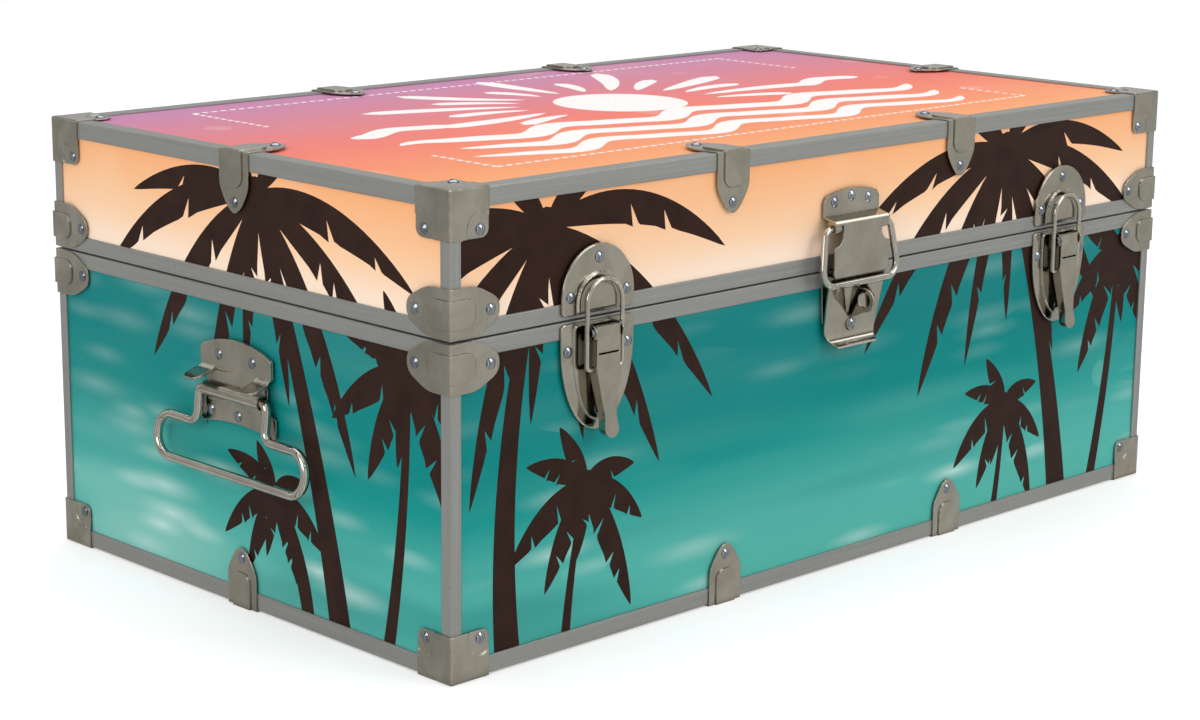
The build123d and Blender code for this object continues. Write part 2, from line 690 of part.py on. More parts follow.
def latch_plate():
    """Shield-shaped plate on the base, with two ears for the lever's pin."""
    ear_r = 5.4
    panel_out = LATCH_PLATE_T + LATCH_PANEL_H
    with BuildPart() as plate:
        with BuildSketch(LATCH_FACE) as outline:
            with BuildLine():
                Polyline((-35.4, 222), (-35.4, 237.8), (35.4, 237.8), (35.4, 222))
                EllipticalCenterArc((0, 222), 35.4, 63.2, start_angle=180, arc_size=180)
            make_face()
            fillet(outline.vertices().sort_by(Axis.Y)[-2:], radius=4)
        extrude(amount=LATCH_PLATE_T)
        fillet(near(plate.edges(), y=-OUT_Y - LATCH_PLATE_T), radius=0.9)
        with BuildSketch(LATCH_FACE.offset(LATCH_PLATE_T)) as panel:
            with BuildLine():
                Polyline((-24.2, 216), (-24.2, 236.4), (24.2, 236.4), (24.2, 216))
                EllipticalCenterArc((0, 216), 24.2, 50.0, start_angle=180, arc_size=180)
            make_face()
            fillet(panel.vertices().sort_by(Axis.Y)[-2:], radius=5)
        extrude(amount=LATCH_PANEL_H)
        chamfer(near(plate.edges(), y=-OUT_Y - panel_out), length=0.7)
        ear_low = (LATCH_PIVOT_OUT, LATCH_PIVOT_Z - ear_r)
        ear_high = (LATCH_PIVOT_OUT, LATCH_PIVOT_Z + ear_r)
        ear_nose = (LATCH_PIVOT_OUT + ear_r, LATCH_PIVOT_Z)
        for side in (-1, 1):
            with BuildSketch(LATCH_SIDE.offset(side * LATCH_EAR_X)):
                with BuildLine():
                    Polyline(stand_off([ear_low, (1.0, 222.0), (1.0, 236.0), ear_high]))
                    ThreePointArc(*stand_off([ear_high, ear_nose, ear_low]))
                make_face()
            extrude(amount=side * LATCH_EAR_T)
        with Locations(LATCH_AXIS.location):
            Hole(radius=LATCH_PIN_R + GAP, depth=30)
        with Locations(*spots(base_rows, "left latch plate")):
            Hole(radius=RIVET_HOLE, depth=6)
    return plate.part


# Lever sections, as (distance out from the extrusions, height)
LEVER_OUTER = [
    (LATCH_PIVOT_OUT, 235.2), (13.0, 235.2), (13.0, 206.0), (14.6, 180.0), (18.2, 154.0),
    (12.0, 154.0), (8.4, 172.0), (5.2, 196.0), (4.6, 214.0), (4.6, LATCH_PIVOT_Z),
]
LEVER_HOLLOW = [
    (11.5, 233.9), (11.5, 206.0), (13.1, 180.0), (15.9, 160.0), (-4.0, 160.0), (-4.0, 233.9),
]
# Lever outlines seen from the front, as (x from the latch's middle, height)
LEVER_FRONT = [
    (-6.7, 160.5), (-5.4, 171), (-11.5, 206), (-11.5, 240),
    (11.5, 240), (11.5, 206), (5.4, 171), (6.7, 160.5),
]
LEVER_CHANNEL = [
    (-10.0, 233.9), (-10.0, 206), (-3.9, 171), (-4.6, 160),
    (4.6, 160), (3.9, 171), (10.0, 206), (10.0, 233.9),
]


def latch_lever():
    """A tapered channel with an outward tip, open towards the plate."""
    heel_r = 4.8
    heel_angle = math.radians(44)
    heel = (
        LATCH_PIVOT_OUT - heel_r * math.cos(heel_angle),
        LATCH_PIVOT_Z + heel_r * math.sin(heel_angle),
    )
    with BuildPart() as lever:
        with BuildSketch(LATCH_SIDE):
            with BuildLine():
                Polyline(stand_off(LEVER_OUTER))
                ThreePointArc(*stand_off([LEVER_OUTER[-1], heel, LEVER_OUTER[0]]))
            make_face()
        extrude(amount=14, both=True)
        with BuildSketch(LATCH_FACE):
            with BuildLine():
                Polyline(LEVER_FRONT)
                ThreePointArc((6.7, 160.5), (0, 155.4), (-6.7, 160.5))
            make_face()
        extrude(amount=24, mode=Mode.INTERSECT)
        with BuildSketch(LATCH_SIDE):
            with BuildLine():
                Polyline(stand_off(LEVER_HOLLOW), close=True)
            make_face()
        extrude(amount=3.9, both=True, mode=Mode.SUBTRACT)
        with BuildSketch(LATCH_FACE):
            with BuildLine():
                Polyline(LEVER_CHANNEL, close=True)
            make_face()
        extrude(amount=11.5, mode=Mode.SUBTRACT)
        # the slot across the lever's face
        with BuildSketch(LATCH_FACE.offset(8.0)):
            with Locations((0, 215.6)):
                Rectangle(19.6, 1.4)
        extrude(amount=8, mode=Mode.SUBTRACT)
        with Locations(LATCH_AXIS.location):
            Hole(radius=LATCH_PIN_R + 0.08, depth=30)
        with Locations(front_axis(-LATCH_X, BAIL_OUT, BAIL_PIVOT_Z).location):
            Hole(radius=BAIL_R + 0.08, depth=30)
    return lever.part


def latch_bail():
    """Wire bail from the lever up over the keeper's boss."""
    with BuildPart() as bail:
        with BuildLine(LATCH_FACE.offset(BAIL_OUT)):
            FilletPolyline(
                (-BAIL_END, BAIL_PIVOT_Z), (-BAIL_HALF, BAIL_PIVOT_Z), (-BAIL_HALF, ARCH_Z),
                radius=3.6,
            )
            ThreePointArc((-BAIL_HALF, ARCH_Z), (0, ARCH_Z + BAIL_HALF), (BAIL_HALF, ARCH_Z))
            FilletPolyline(
                (BAIL_HALF, ARCH_Z), (BAIL_HALF, BAIL_PIVOT_Z), (BAIL_END, BAIL_PIVOT_Z),
                radius=3.6,
            )
        with BuildSketch(front_axis(-LATCH_X - BAIL_END, BAIL_OUT, BAIL_PIVOT_Z, -1)):
            Circle(BAIL_R)
        sweep()
    return bail.part


def latch_pins():
    """Lever pins with peened heads."""
    ear_face = LATCH_EAR_X + LATCH_EAR_T
    half = ear_face + GAP
    with BuildPart() as pins:
        for x in (-LATCH_X, LATCH_X):
            axis = front_axis(x, LATCH_PIVOT_OUT, LATCH_PIVOT_Z)
            with BuildSketch(axis.offset(-half)):
                Circle(LATCH_PIN_R)
            extrude(amount=2 * half)
            for way in (1, -1):
                with BuildSketch(axis.offset(way * (ear_face + 0.02))):
                    Circle(3.1)
                extrude(amount=way * 1.0, taper=30)
    return pins.part


for name, build in (
    ("latch_keeper", latch_keeper), ("latch_plate", latch_plate),
    ("latch_lever", latch_lever), ("latch_bail", latch_bail),
):
    pieces[name + "_left"] = build()
    pieces[name + "_right"] = mirrored(pieces[name + "_left"], Plane.YZ)
pieces["latch_pins"] = latch_pins()

# ---------------------------------------------------------------- centre lock
LOCK_FACE = face_plane("front")
LOCK_SIDE = Plane(origin=(0, 0, 0), x_dir=(0, -1, 0), z_dir=(-1, 0, 0))

# Cover section, as (distance out from the extrusions, height):
# riveted back plate, shelf, front face and inward lip
COVER_SECTION = [
    (0, 303), (COVER_T, 303), (COVER_T, 282.2), (12.2, 279.8), (13.7, 278.0), (13.7, 240.6),
    (12.9, 235.6), (11.3, 235.9), (12.1, 240.8), (12.1, 277.4), (11.5, 278.2), (0, 280.7),
]
# Cover outline seen from the front, as (x, height), either side of the arched top
COVER_LEFT_TOP = [(-31.5, 280.0), (-32.2, 282.5), (-32.2, 293.0), (-29.0, 297.2)]
COVER_REST = [
    (29.0, 297.2), (32.2, 293.0), (32.2, 282.5), (31.5, 280.0), (31.5, 276.4),
    (22.4, 276.4), (22.4, 266.0), (26.0, 261.4), (31.8, 259.4), (31.8, 239.6), (29.4, 235.0),
    (-29.4, 235.0), (-31.8, 239.6), (-31.8, 259.4), (-26.0, 261.4), (-22.4, 266.0),
    (-22.4, 276.4), (-31.5, 276.4), (-31.5, 280.0),
]


def lock_cover():
    """Cover on the lid."""
    ear_r = 4.4
    ear_back = (RING_OUT - ear_r, RING_Z)
    ear_front = (RING_OUT + ear_r, RING_Z)
    ear_top = [(RING_OUT - ear_r, 280.2), (RING_OUT + 3.4, 278.9)]
    with BuildPart() as cover:
        with BuildSketch(LOCK_SIDE):
            with BuildLine():
                Polyline(stand_off(COVER_SECTION), close=True)
            make_face()
        extrude(amount=34, both=True)
        with BuildSketch(LOCK_FACE):
            with BuildLine():
                Polyline(COVER_LEFT_TOP)
                ThreePointArc((-29.0, 297.2), (0, 301.6), (29.0, 297.2))
                Polyline(COVER_REST)
            make_face()
        extrude(amount=20, mode=Mode.INTERSECT)
        # rolled ears that hold the ends of the pull ring
        for side in (-1, 1):
            with BuildSketch(LOCK_SIDE.offset(side * 23.2)):
                with BuildLine():
                    Polyline(stand_off([ear_back] + ear_top + [ear_front]))
                    ThreePointArc(*stand_off([ear_front, (RING_OUT, RING_Z - ear_r), ear_back]))
                make_face()
            extrude(amount=side * 7.2)
        with Locations(front_axis(0, RING_OUT, RING_Z).location):
            Hole(radius=RING_R + 0.09, depth=40)
        with Locations(*spots(lid_rows, "lock cover")):
            Hole(radius=RIVET_HOLE, depth=6)
    return cover.part


def pull_ring():
    """Bent wire hanging from the cover's ears, leaning outwards at the bottom."""
    hang = Plane(
        origin=(0, -OUT_Y - RING_OUT, RING_Z),
        x_dir=(1, 0, 0),
        z_dir=(0, -math.cos(RING_TILT), math.sin(RING_TILT)),
    )
    with BuildPart() as ring:
        with BuildLine(hang):
            FilletPolyline(
                (-RING_END, 0), (-37.6, 0), (-44.8, -43.4),
                (44.8, -43.4), (37.6, 0), (RING_END, 0),
                radius=(7.0, 11.5, 11.5, 7.0),
            )
        with BuildSketch(front_axis(-RING_END, RING_OUT, RING_Z, -1)):
            Circle(RING_R)
        sweep()
    return ring.part


# Strike section, as (distance out from the extrusions, height): flat back and
# leaning face, joined at the top, with a curled lip below
STRIKE_OUTER = [(0, 199.5), (0, 237.6), (9.8, 237.0), (10.3, 236.2), (3.4, 192.6)]
LIP_OUTER = [(3.4, 192.6), (5.0, 186.4), (11.9, 181.8)]
LIP_INNER = [(11.2, 180.1), (3.6, 185.2), (1.6, 192.6)]
STRIKE_INNER = [
    (1.6, 192.6), (8.25, 235.3), (STRIKE_T, 235.8), (STRIKE_T, 199.5), (0, 199.5),
]
# Strike outline and window seen from the front, as (x, height)
STRIKE_FRONT = [
    (-30.0, 196), (-32.0, 226), (-32.0, 240), (32.0, 240), (32.0, 226), (30.0, 196),
]
WINDOW = [
    (-21.0, 221.6), (-16.5, 229.0), (11.0, 229.0), (24.6, 215.0), (24.6, 203.2), (-4.6, 203.2),
]
# Root of the padlock eye, as (distance out, height), from its top to its bottom
EYE_ROOT = [
    (8.6, 226.4), (9.0, 231.2), (7.7, 231.2), (3.2, 203.0), (3.9, 200.8), (5.0, 200.8),
]


def lock_strike():
    """Lower plate on the base, with window and padlock eye."""
    eye_top = (EYE_OUT, EYE_Z + EYE_R)
    eye_low = (EYE_OUT, EYE_Z - EYE_R)
    with BuildPart() as strike:
        with BuildSketch(LOCK_SIDE):
            with BuildLine():
                Polyline(stand_off(STRIKE_OUTER))
                ThreePointArc(*stand_off(LIP_OUTER))
                Line(*stand_off([LIP_OUTER[-1], LIP_INNER[0]]))
                ThreePointArc(*stand_off(LIP_INNER))
                Polyline(stand_off(STRIKE_INNER))
            make_face()
        extrude(amount=32, both=True)
        with BuildSketch(LOCK_FACE):
            with BuildLine():
                Polyline(STRIKE_FRONT)
                ThreePointArc((30.0, 196), (27.0, 186.4), (19.8, 179.0))
                Line((19.8, 179.0), (-19.8, 179.0))
                ThreePointArc((-19.8, 179.0), (-27.0, 186.4), (-30.0, 196))
            make_face()
        extrude(amount=20, mode=Mode.INTERSECT)
        with BuildSketch(LOCK_FACE.offset(2.4)):
            with BuildLine():
                Polyline(WINDOW, close=True)
            make_face()
        extrude(amount=12, mode=Mode.SUBTRACT)
        # the eye, square to the plate
        with BuildSketch(LOCK_SIDE.offset(EYE_SIDE)):
            with BuildLine():
                Polyline(stand_off([eye_top] + EYE_ROOT + [eye_low]))
                ThreePointArc(*stand_off([eye_low, (EYE_OUT + EYE_R, EYE_Z), eye_top]))
            make_face()
        extrude(amount=-STRIKE_T)
        with Locations(front_axis(STRIKE_T / 2 - EYE_SIDE, EYE_OUT, EYE_Z).location):
            Hole(radius=EYE_HOLE_R, depth=6)
        # flat seat pressed back to the skin for the lower rivet
        with BuildSketch(face_plane("front", 0, STRIKE_RIVET_Z, -T_ANGLE)):
            Circle(5.4)
        extrude(amount=STRIKE_SEAT + T_ANGLE)
        with Locations(*spots(base_rows, "strike rim")):
            Hole(radius=RIVET_HOLE, depth=4)
        with Locations(*spots(base_rows, "strike seat")):
            Hole(radius=RIVET_HOLE, depth=10)
    return strike.part


pieces["lock_cover"] = lock_cover()
pieces["lock_bail"] = pull_ring()
pieces["lock_strike"] = lock_strike()

# ---------------------------------------------------------------- end handles
# The left handle is drawn; the right one mirrors it.
END_FACE = face_plane("left")
END_SIDE = Plane(origin=(0, 0, 0), x_dir=(-1, 0, 0), z_dir=(0, 1, 0))

# Plate outlines seen from the end, as (along the end, height)
PLATE_TOP = 194.4       # top corners, under the arched top edge
BACK_PLATE_LEFT = [
    (-42, PLATE_TOP), (-42, 181.0), (-35.5, 174.0), (-35.5, 157.0), (-45.0, 151.0), (-45.0, 135.6),
]
BACK_PLATE_RIGHT = [(-u, z) for u, z in reversed(BACK_PLATE_LEFT)]
FRONT_PLATE = [
    (-42, PLATE_TOP), (-42, 180.6), (-34.3, 170.6), (-34.3, 154.0),
    (34.3, 154.0), (34.3, 170.6), (42, 180.6), (42, PLATE_TOP),
]
# Stop shelf section, as (distance out from the extrusions, height)
SHELF_SECTION = [
    (2.2, 179.6), (3.2, 180.4), (6.4, 178.0), (21.5, 173.2),
    (21.0, 171.7), (5.4, 176.6), (3.2, 177.2), (2.2, 176.8),
]


def handle_back_plates():
    with BuildPart() as plates:
        with BuildSketch(END_FACE) as outline:
            with BuildLine():
                Polyline(BACK_PLATE_LEFT)
                ThreePointArc((-45.0, 135.6), (0, 140.4), (45.0, 135.6))
                Polyline(BACK_PLATE_RIGHT)
                ThreePointArc((42, PLATE_TOP), (0, 203.4), (-42, PLATE_TOP))
            make_face()
            tips = [v for v in outline.vertices() if v.Y < 140 or abs(v.Y - PLATE_TOP) < 0.1]
            fillet(tips, radius=3.5)
        extrude(amount=HANDLE_T)
        back_spots = spots(base_rows, "handle back", "left")
        with Locations(*spots(base_rows, "handle front", "left"), *back_spots):
            Hole(radius=RIVET_HOLE, depth=6)
        mirror(about=Plane.YZ)
    return plates.part


def stop_shelf():
    """The shelf over the handle's leg on the back side of the left end."""
    with BuildPart() as shelf:
        with BuildSketch(END_SIDE.offset(SHELF_IN)):
            with BuildLine():
                Polyline(stand_off(SHELF_SECTION, OUT_X), close=True)
            make_face()
        extrude(amount=SHELF_OUT - SHELF_IN)
        with BuildSketch(Plane.XY.offset(165.0)) as plan:
            with BuildLine():
                Polyline(
                    (-OUT_X - 1.0, SHELF_IN), (-OUT_X - 21.6, SHELF_IN),
                    (-OUT_X - 21.6, SHELF_OUT), (-OUT_X - 8.0, SHELF_OUT),
                    (-OUT_X - 1.0, 40.0), close=True,
                )
            make_face()
            fillet([v for v in plan.vertices() if v.X < -OUT_X - 21], radius=7.5)
        extrude(amount=20, mode=Mode.INTERSECT)
    return shelf.part


def handle_front_plates():
    """Hat section: flat top, tunnel over the handle's wire, short lower lip."""
    with BuildPart() as plates:
        with BuildSketch(END_SIDE):
            with Locations((OUT_X + 1.5 * HANDLE_T, 179.0)):
                Rectangle(HANDLE_T, 50.0)
            with Locations((OUT_X + (HANDLE_T + HANDLE_OUT) / 2, HANDLE_Z)):
                Rectangle(HANDLE_OUT - HANDLE_T, 10.6)
            with Locations((OUT_X + HANDLE_OUT, HANDLE_Z)):
                Circle(5.3)
                Circle(3.75, mode=Mode.SUBTRACT)
            with Locations((OUT_X + (1.5 + HANDLE_OUT) / 2, HANDLE_Z)):
                Rectangle(HANDLE_OUT - 1.5, 7.5, mode=Mode.SUBTRACT)
            with Locations((OUT_X + 0.6, HANDLE_Z)):
                Rectangle(2.0, 20.0, mode=Mode.SUBTRACT)
        extrude(amount=46, both=True)
        with BuildSketch(END_FACE) as outline:
            with BuildLine():
                Polyline(FRONT_PLATE)
                ThreePointArc((42, PLATE_TOP), (0, 203.4), (-42, PLATE_TOP))
            make_face()
            fillet([v for v in outline.vertices() if abs(v.Y - PLATE_TOP) < 0.1], radius=3.5)
        extrude(amount=20, mode=Mode.INTERSECT)
        shelf = stop_shelf()
        add(shelf)
        mirror(shelf, about=Plane.XZ)
        with Locations(*spots(base_rows, "handle front", "left")):
            Hole(radius=RIVET_HOLE, depth=6)
        mirror(about=Plane.YZ)
    return plates.part


def handle_bail():
    """Swing handle: bent wire, its ends butt inside the tunnel."""
    hang = Plane(
        origin=(-OUT_X - HANDLE_OUT, 0, HANDLE_Z),
        x_dir=(0, -1, 0),
        z_dir=(-math.cos(HANDLE_TILT), 0, math.sin(HANDLE_TILT)),
    )
    end = 0.6               # wire ends from the middle
    with BuildPart() as bail:
        with BuildLine(hang):
            FilletPolyline(
                (-end, 0), (-40.6, 0), (-40.6, -27.0), (-89.2, -27.0), (-89.2, -59.6),
                (89.2, -59.6), (89.2, -27.0), (40.6, -27.0), (40.6, 0), (end, 0),
                radius=(5.5, 8.5, 16.2, 16.2, 16.2, 16.2, 8.5, 5.5),
            )
        with BuildSketch(Plane(origin=(-OUT_X - HANDLE_OUT, end, HANDLE_Z), z_dir=(0, 1, 0))):
            Circle(HANDLE_R)
        sweep()
    return bail.part


pieces["handle_back_plates"] = handle_back_plates()
pieces["handle_front_plates"] = handle_front_plates()
pieces["handle_bail_left"] = handle_bail()
pieces["handle_bail_right"] = mirrored(pieces["handle_bail_left"], Plane.YZ)

# ---------------------------------------------------------------- hinges
HINGE_SIDE = Plane(origin=(0, 0, 0), x_dir=(0, 1, 0), z_dir=(1, 0, 0))


def hinge_leaf(middle, up, knuckles):
    """One hinge leaf centred on x = middle, rising (up = 1) or hanging (up = -1)."""
    left = middle - HINGE_W / 2
    right = middle + HINGE_W / 2
    root_z = HINGE_Z + up * (HINGE_R + 0.7)
    tip_z = HINGE_Z + up * 28.5
    web = HINGE_Y - 1.0 - OUT_Y
    with BuildPart() as leaf:
        with BuildSketch(Plane.XZ.offset(-OUT_Y)) as outline:
            with BuildLine():
                Polyline(
                    (left, root_z), (right, root_z), (right, tip_z), (left, tip_z), close=True
                )
            make_face()
            fillet([v for v in outline.vertices() if abs(v.Y - tip_z) < 0.1], radius=5)
        extrude(amount=-T_SHEET)
        for k in knuckles:
            # the web to the leaf is hollowed behind, then the knuckle made whole again
            with BuildSketch(HINGE_SIDE.offset(left + k * KNUCKLE_STEP)):
                with Locations((HINGE_Y, HINGE_Z)):
                    Circle(HINGE_R)
                with Locations(((OUT_Y + HINGE_Y - 1.0) / 2, HINGE_Z + up * 2.4)):
                    Rectangle(web, 4.8)
                with Locations((HINGE_Y + 2.9, HINGE_Z + up * 4.8)):
                    Circle(4.2, mode=Mode.SUBTRACT)
                with Locations((HINGE_Y, HINGE_Z)):
                    Circle(HINGE_R)
            extrude(amount=KNUCKLE)
    return leaf.part


def hinge_leaves(up, knuckles, rows):
    """The three leaves of the lid or the base, bored for pins and rivets."""
    with BuildPart() as leaves:
        for middle in HINGE_X:
            add(hinge_leaf(middle, up, knuckles))
        with Locations(Plane(origin=(0, HINGE_Y, HINGE_Z), z_dir=(1, 0, 0)).location):
            Hole(radius=HINGE_PIN_R + GAP, depth=400)
        with Locations(*spots(rows, "hinge")):
            Hole(radius=RIVET_HOLE, depth=4)
    return leaves.part


def hinge_pins():
    with BuildPart() as pins:
        for middle in HINGE_X:
            with BuildSketch(HINGE_SIDE.offset(middle - HINGE_W / 2 - 0.3)):
                with Locations((HINGE_Y, HINGE_Z)):
                    Circle(HINGE_PIN_R)
            extrude(amount=HINGE_W + 0.6)
            for way in (-1, 1):
                with BuildSketch(HINGE_SIDE.offset(middle + way * (HINGE_W / 2 + GAP))):
                    with Locations((HINGE_Y, HINGE_Z)):
                        Circle(2.9)
                extrude(amount=way * 1.2, taper=25)
    return pins.part


pieces["base_hinge_leaves"] = hinge_leaves(-1, (0, 2, 4), base_rows)
pieces["lid_hinge_leaves"] = hinge_leaves(1, (1, 3), lid_rows)
pieces["hinge_pins"] = hinge_pins()


# ---------------------------------------------------------------- rivets
def rivet_tail(length):
    """Section points (radius, z) of the clinched tail, from the shank to the axis."""
    end = -length - 0.9
    return [(RIVET_R, -length), (3.5, -length), (3.5, -length - 0.4), (2.6, end), (0, end)]


def rivet(length):
    """Domed rivet, seat at z = 0, clinched tail at z = -length."""
    with BuildPart() as domed:
        with BuildSketch(Plane.XZ):
            with BuildLine():
                ThreePointArc((0, RIVET_HEAD_H), (2.45, 1.42), (RIVET_HEAD, 0.25))
                Polyline(
                    [(RIVET_HEAD, 0.25), (RIVET_HEAD, 0), (RIVET_R, 0)]
                    + rivet_tail(length)
                    + [(0, RIVET_HEAD_H)]
                )
            make_face()
        revolve(axis=Axis.Z)
    return domed.part


def flush_rivet():
    """Countersunk rivet, face at z = 0."""
    tail = rivet_tail(T_SHEET + IN_DEPTH - T_SKIN)
    with BuildPart() as flush:
        with BuildSketch(Plane.XZ):
            with BuildLine():
                Polyline([(0, 0), (FLUSH_HEAD, 0), (RIVET_R, -T_SHEET)] + tail, close=True)
            make_face()
        revolve(axis=Axis.Z)
    return flush.part


def place_rivets(rows):
    """All the domed rivets of one table, as separate solids."""
    with BuildPart() as placed:
        for seat, reach in sorted({(row.seat, row.reach) for row in rows}):
            alike = [row for row in rows if (row.seat, row.reach) == (seat, reach)]
            with Locations(*[face_plane(r.face, r.u, r.v, seat).location for r in alike]):
                add(rivet(seat + reach))
    return placed.part


pieces["lid_rivets"] = place_rivets(lid_rows)

flush_part = flush_rivet()
with BuildPart() as base_rivets:
    add(place_rivets(base_rows))
    with Locations(*FLUSH_SPOTS):
        add(flush_part)
pieces["base_rivets"] = base_rivets.part

# ---------------------------------------------------------------- write
EYE_REACH = OUT_Y + EYE_OUT + EYE_R
SHIFT = (EYE_REACH - (HINGE_Y + HINGE_R)) / 2

os.makedirs("parts", exist_ok=True)
for name, part in pieces.items():
    moved = part.moved(Location((0, SHIFT, 0)))
    moved.label = name
    export_step(moved, "parts/" + name + ".step")
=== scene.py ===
# A hard travel case with metal edges and corners, printed with palms over water and, on the lid,
# a sun over waves. It stands on z = 0 with its front facing -Y, its left end at -X and the lid
# above the base. The scene is in metres; the printed drawings are laid out in millimetres.
import bmesh
import bpy
import math
import random
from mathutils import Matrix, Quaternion, Vector
from mathutils.geometry import delaunay_2d_cdt


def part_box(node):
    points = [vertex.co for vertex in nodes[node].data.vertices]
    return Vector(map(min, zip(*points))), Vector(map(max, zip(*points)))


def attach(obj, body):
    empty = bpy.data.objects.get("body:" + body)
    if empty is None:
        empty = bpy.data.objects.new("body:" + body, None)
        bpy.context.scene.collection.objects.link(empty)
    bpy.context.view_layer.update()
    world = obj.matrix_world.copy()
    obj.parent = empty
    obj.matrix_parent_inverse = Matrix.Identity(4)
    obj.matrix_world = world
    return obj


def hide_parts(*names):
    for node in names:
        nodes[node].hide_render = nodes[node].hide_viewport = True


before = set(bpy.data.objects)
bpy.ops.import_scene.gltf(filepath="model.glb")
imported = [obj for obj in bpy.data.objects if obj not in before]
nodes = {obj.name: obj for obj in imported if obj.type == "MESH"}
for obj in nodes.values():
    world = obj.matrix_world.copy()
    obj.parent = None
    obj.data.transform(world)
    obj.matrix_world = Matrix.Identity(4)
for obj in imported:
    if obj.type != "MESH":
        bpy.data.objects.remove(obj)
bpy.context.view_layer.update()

MM = 0.001
BACK = 10.85  # the middle between the corner caps stands this far behind the origin, mm
SHEET_DEPTH = 0.8  # thickness of the printed laminate, mm

# Heights and depths over which the printed colours run, metres
SKY_SPAN = (0.2468, 0.3420)
WATER_SPAN = (0.0, 0.2385)
DUSK_SPAN = (-0.224, 0.246)


# ------------------------------------------------------------------ shader helpers
def srgb(*channels):
    """sRGB 0-255 to linear RGBA."""
    unit = [c / 255.0 for c in channels]
    return (*(c / 12.92 if c <= 0.04045 else ((c + 0.055) / 1.055) ** 2.4 for c in unit), 1.0)


def grey(value):
    return (value, value, value, 1)


def srgb_stops(rows):
    """Ramp stops from rows of position, red, green, blue."""
    return [(position, srgb(*colour)) for position, *colour in rows]


class Graph:
    """Short calls for building one node tree. Values may be numbers, colours or sockets."""

    def __init__(self, node_tree):
        self.tree = node_tree
        node_tree.nodes.clear()

    def put(self, socket, value):
        if isinstance(value, bpy.types.NodeSocket):
            self.tree.links.new(value, socket)
        else:
            socket.default_value = value

    def add(self, kind, inputs=None, **settings):
        node = self.tree.nodes.new("ShaderNode" + kind)
        for key, value in settings.items():
            setattr(node, key, value)
        for key, value in (inputs or {}).items():
            if value is not None:
                self.put(node.inputs[key], value)
        return node

    def math(self, operation, a, b=None, c=None, clamp=False):
        inputs = {0: a, 1: b, 2: c}
        return self.add("Math", inputs, operation=operation, use_clamp=clamp).outputs[0]

    def times(self, a, b):
        return self.math("MULTIPLY", a, b)

    def ramp(self, value, stops):
        node = self.add("ValToRGB", {0: value})
        elements = node.color_ramp.elements
        elements[0].position, elements[0].color = stops[0]
        elements[1].position, elements[1].color = stops[-1]
        for position, colour in stops[1:-1]:
            elements.new(position).color = colour
        return node.outputs[0]

    def mix(self, factor, under, over, mode="MIX"):
        inputs = {0: factor, 6: under, 7: over}
        return self.add("Mix", inputs, data_type="RGBA", blend_type=mode).outputs[2]

    def glow(self, kind, colour, strength):
        """An Emission or Background shader."""
        return self.add(kind, {0: colour, 1: strength}).outputs[0]

    def mix_shader(self, factor, first, second):
        return self.add("MixShader", {0: factor, 1: first, 2: second}).outputs[0]


class Surface(Graph):
    """One material, shaded from object coordinates."""

    def __init__(self, name):
        self.mat = bpy.data.materials.new(name)
        self.mat.use_nodes = True
        super().__init__(self.mat.node_tree)
        self.out = self.add("OutputMaterial")
        self.bsdf = self.add("BsdfPrincipled")
        self.put(self.out.inputs[0], self.bsdf.outputs[0])
        self.coord = self.add("TexCoord").outputs["Object"]

    def scaled(self, stretch, offset):
        inputs = {"Vector": self.coord, "Scale": stretch, "Location": offset}
        return self.add("Mapping", inputs).outputs[0]

    def noise(self, scale=1.0, detail=3.0, stretch=None, offset=(0, 0, 0), rough=0.5,
              distortion=0.0):
        vector = self.scaled(stretch, offset) if stretch else self.coord
        return self.add("TexNoise", {
            "Vector": vector, "Scale": scale, "Detail": detail, "Roughness": rough,
            "Distortion": distortion}).outputs["Fac"]

    def cells(self, scale, stretch, offset, keep):
        """Voronoi cells: a mask of the cells picked above keep, and the distance inside each."""
        vector = self.scaled(stretch, offset)
        cell = self.add("TexVoronoi", {"Vector": vector, "Scale": scale})
        pick = self.add("SeparateColor", {0: cell.outputs["Color"]})
        return self.math("GREATER_THAN", pick.outputs[0], keep), cell.outputs["Distance"]

    def remap(self, value, span=(0.3, 0.7), to=(0.0, 1.0), smooth=False):
        """Map span, by default the range that most noise fills, onto another range."""
        return self.add("MapRange", {
            "Value": value, "From Min": span[0], "From Max": span[1],
            "To Min": to[0], "To Max": to[1],
        }, interpolation_type="SMOOTHSTEP" if smooth else "LINEAR").outputs[0]

    def tint(self, base, mask, strength, colour):
        return self.mix(self.times(mask, strength), base, colour)

    def axis(self, index):
        return self.add("SeparateXYZ", {0: self.coord}).outputs[index]

    def bump(self, height, strength, distance, normal=None):
        return self.add("Bump", {
            "Strength": strength, "Distance": distance, "Height": height, "Normal": normal,
        }).outputs[0]

    def cavity(self, distance):
        return self.add("AmbientOcclusion", {"Distance": distance}, samples=4).outputs["AO"]

    def bevel(self, radius):
        return self.add("Bevel", {"Radius": radius}, samples=4).outputs[0]

    def finish(self, **inputs):
        for key, value in inputs.items():
            self.put(self.bsdf.inputs[key.replace("_", " ")], value)
        return self.mat


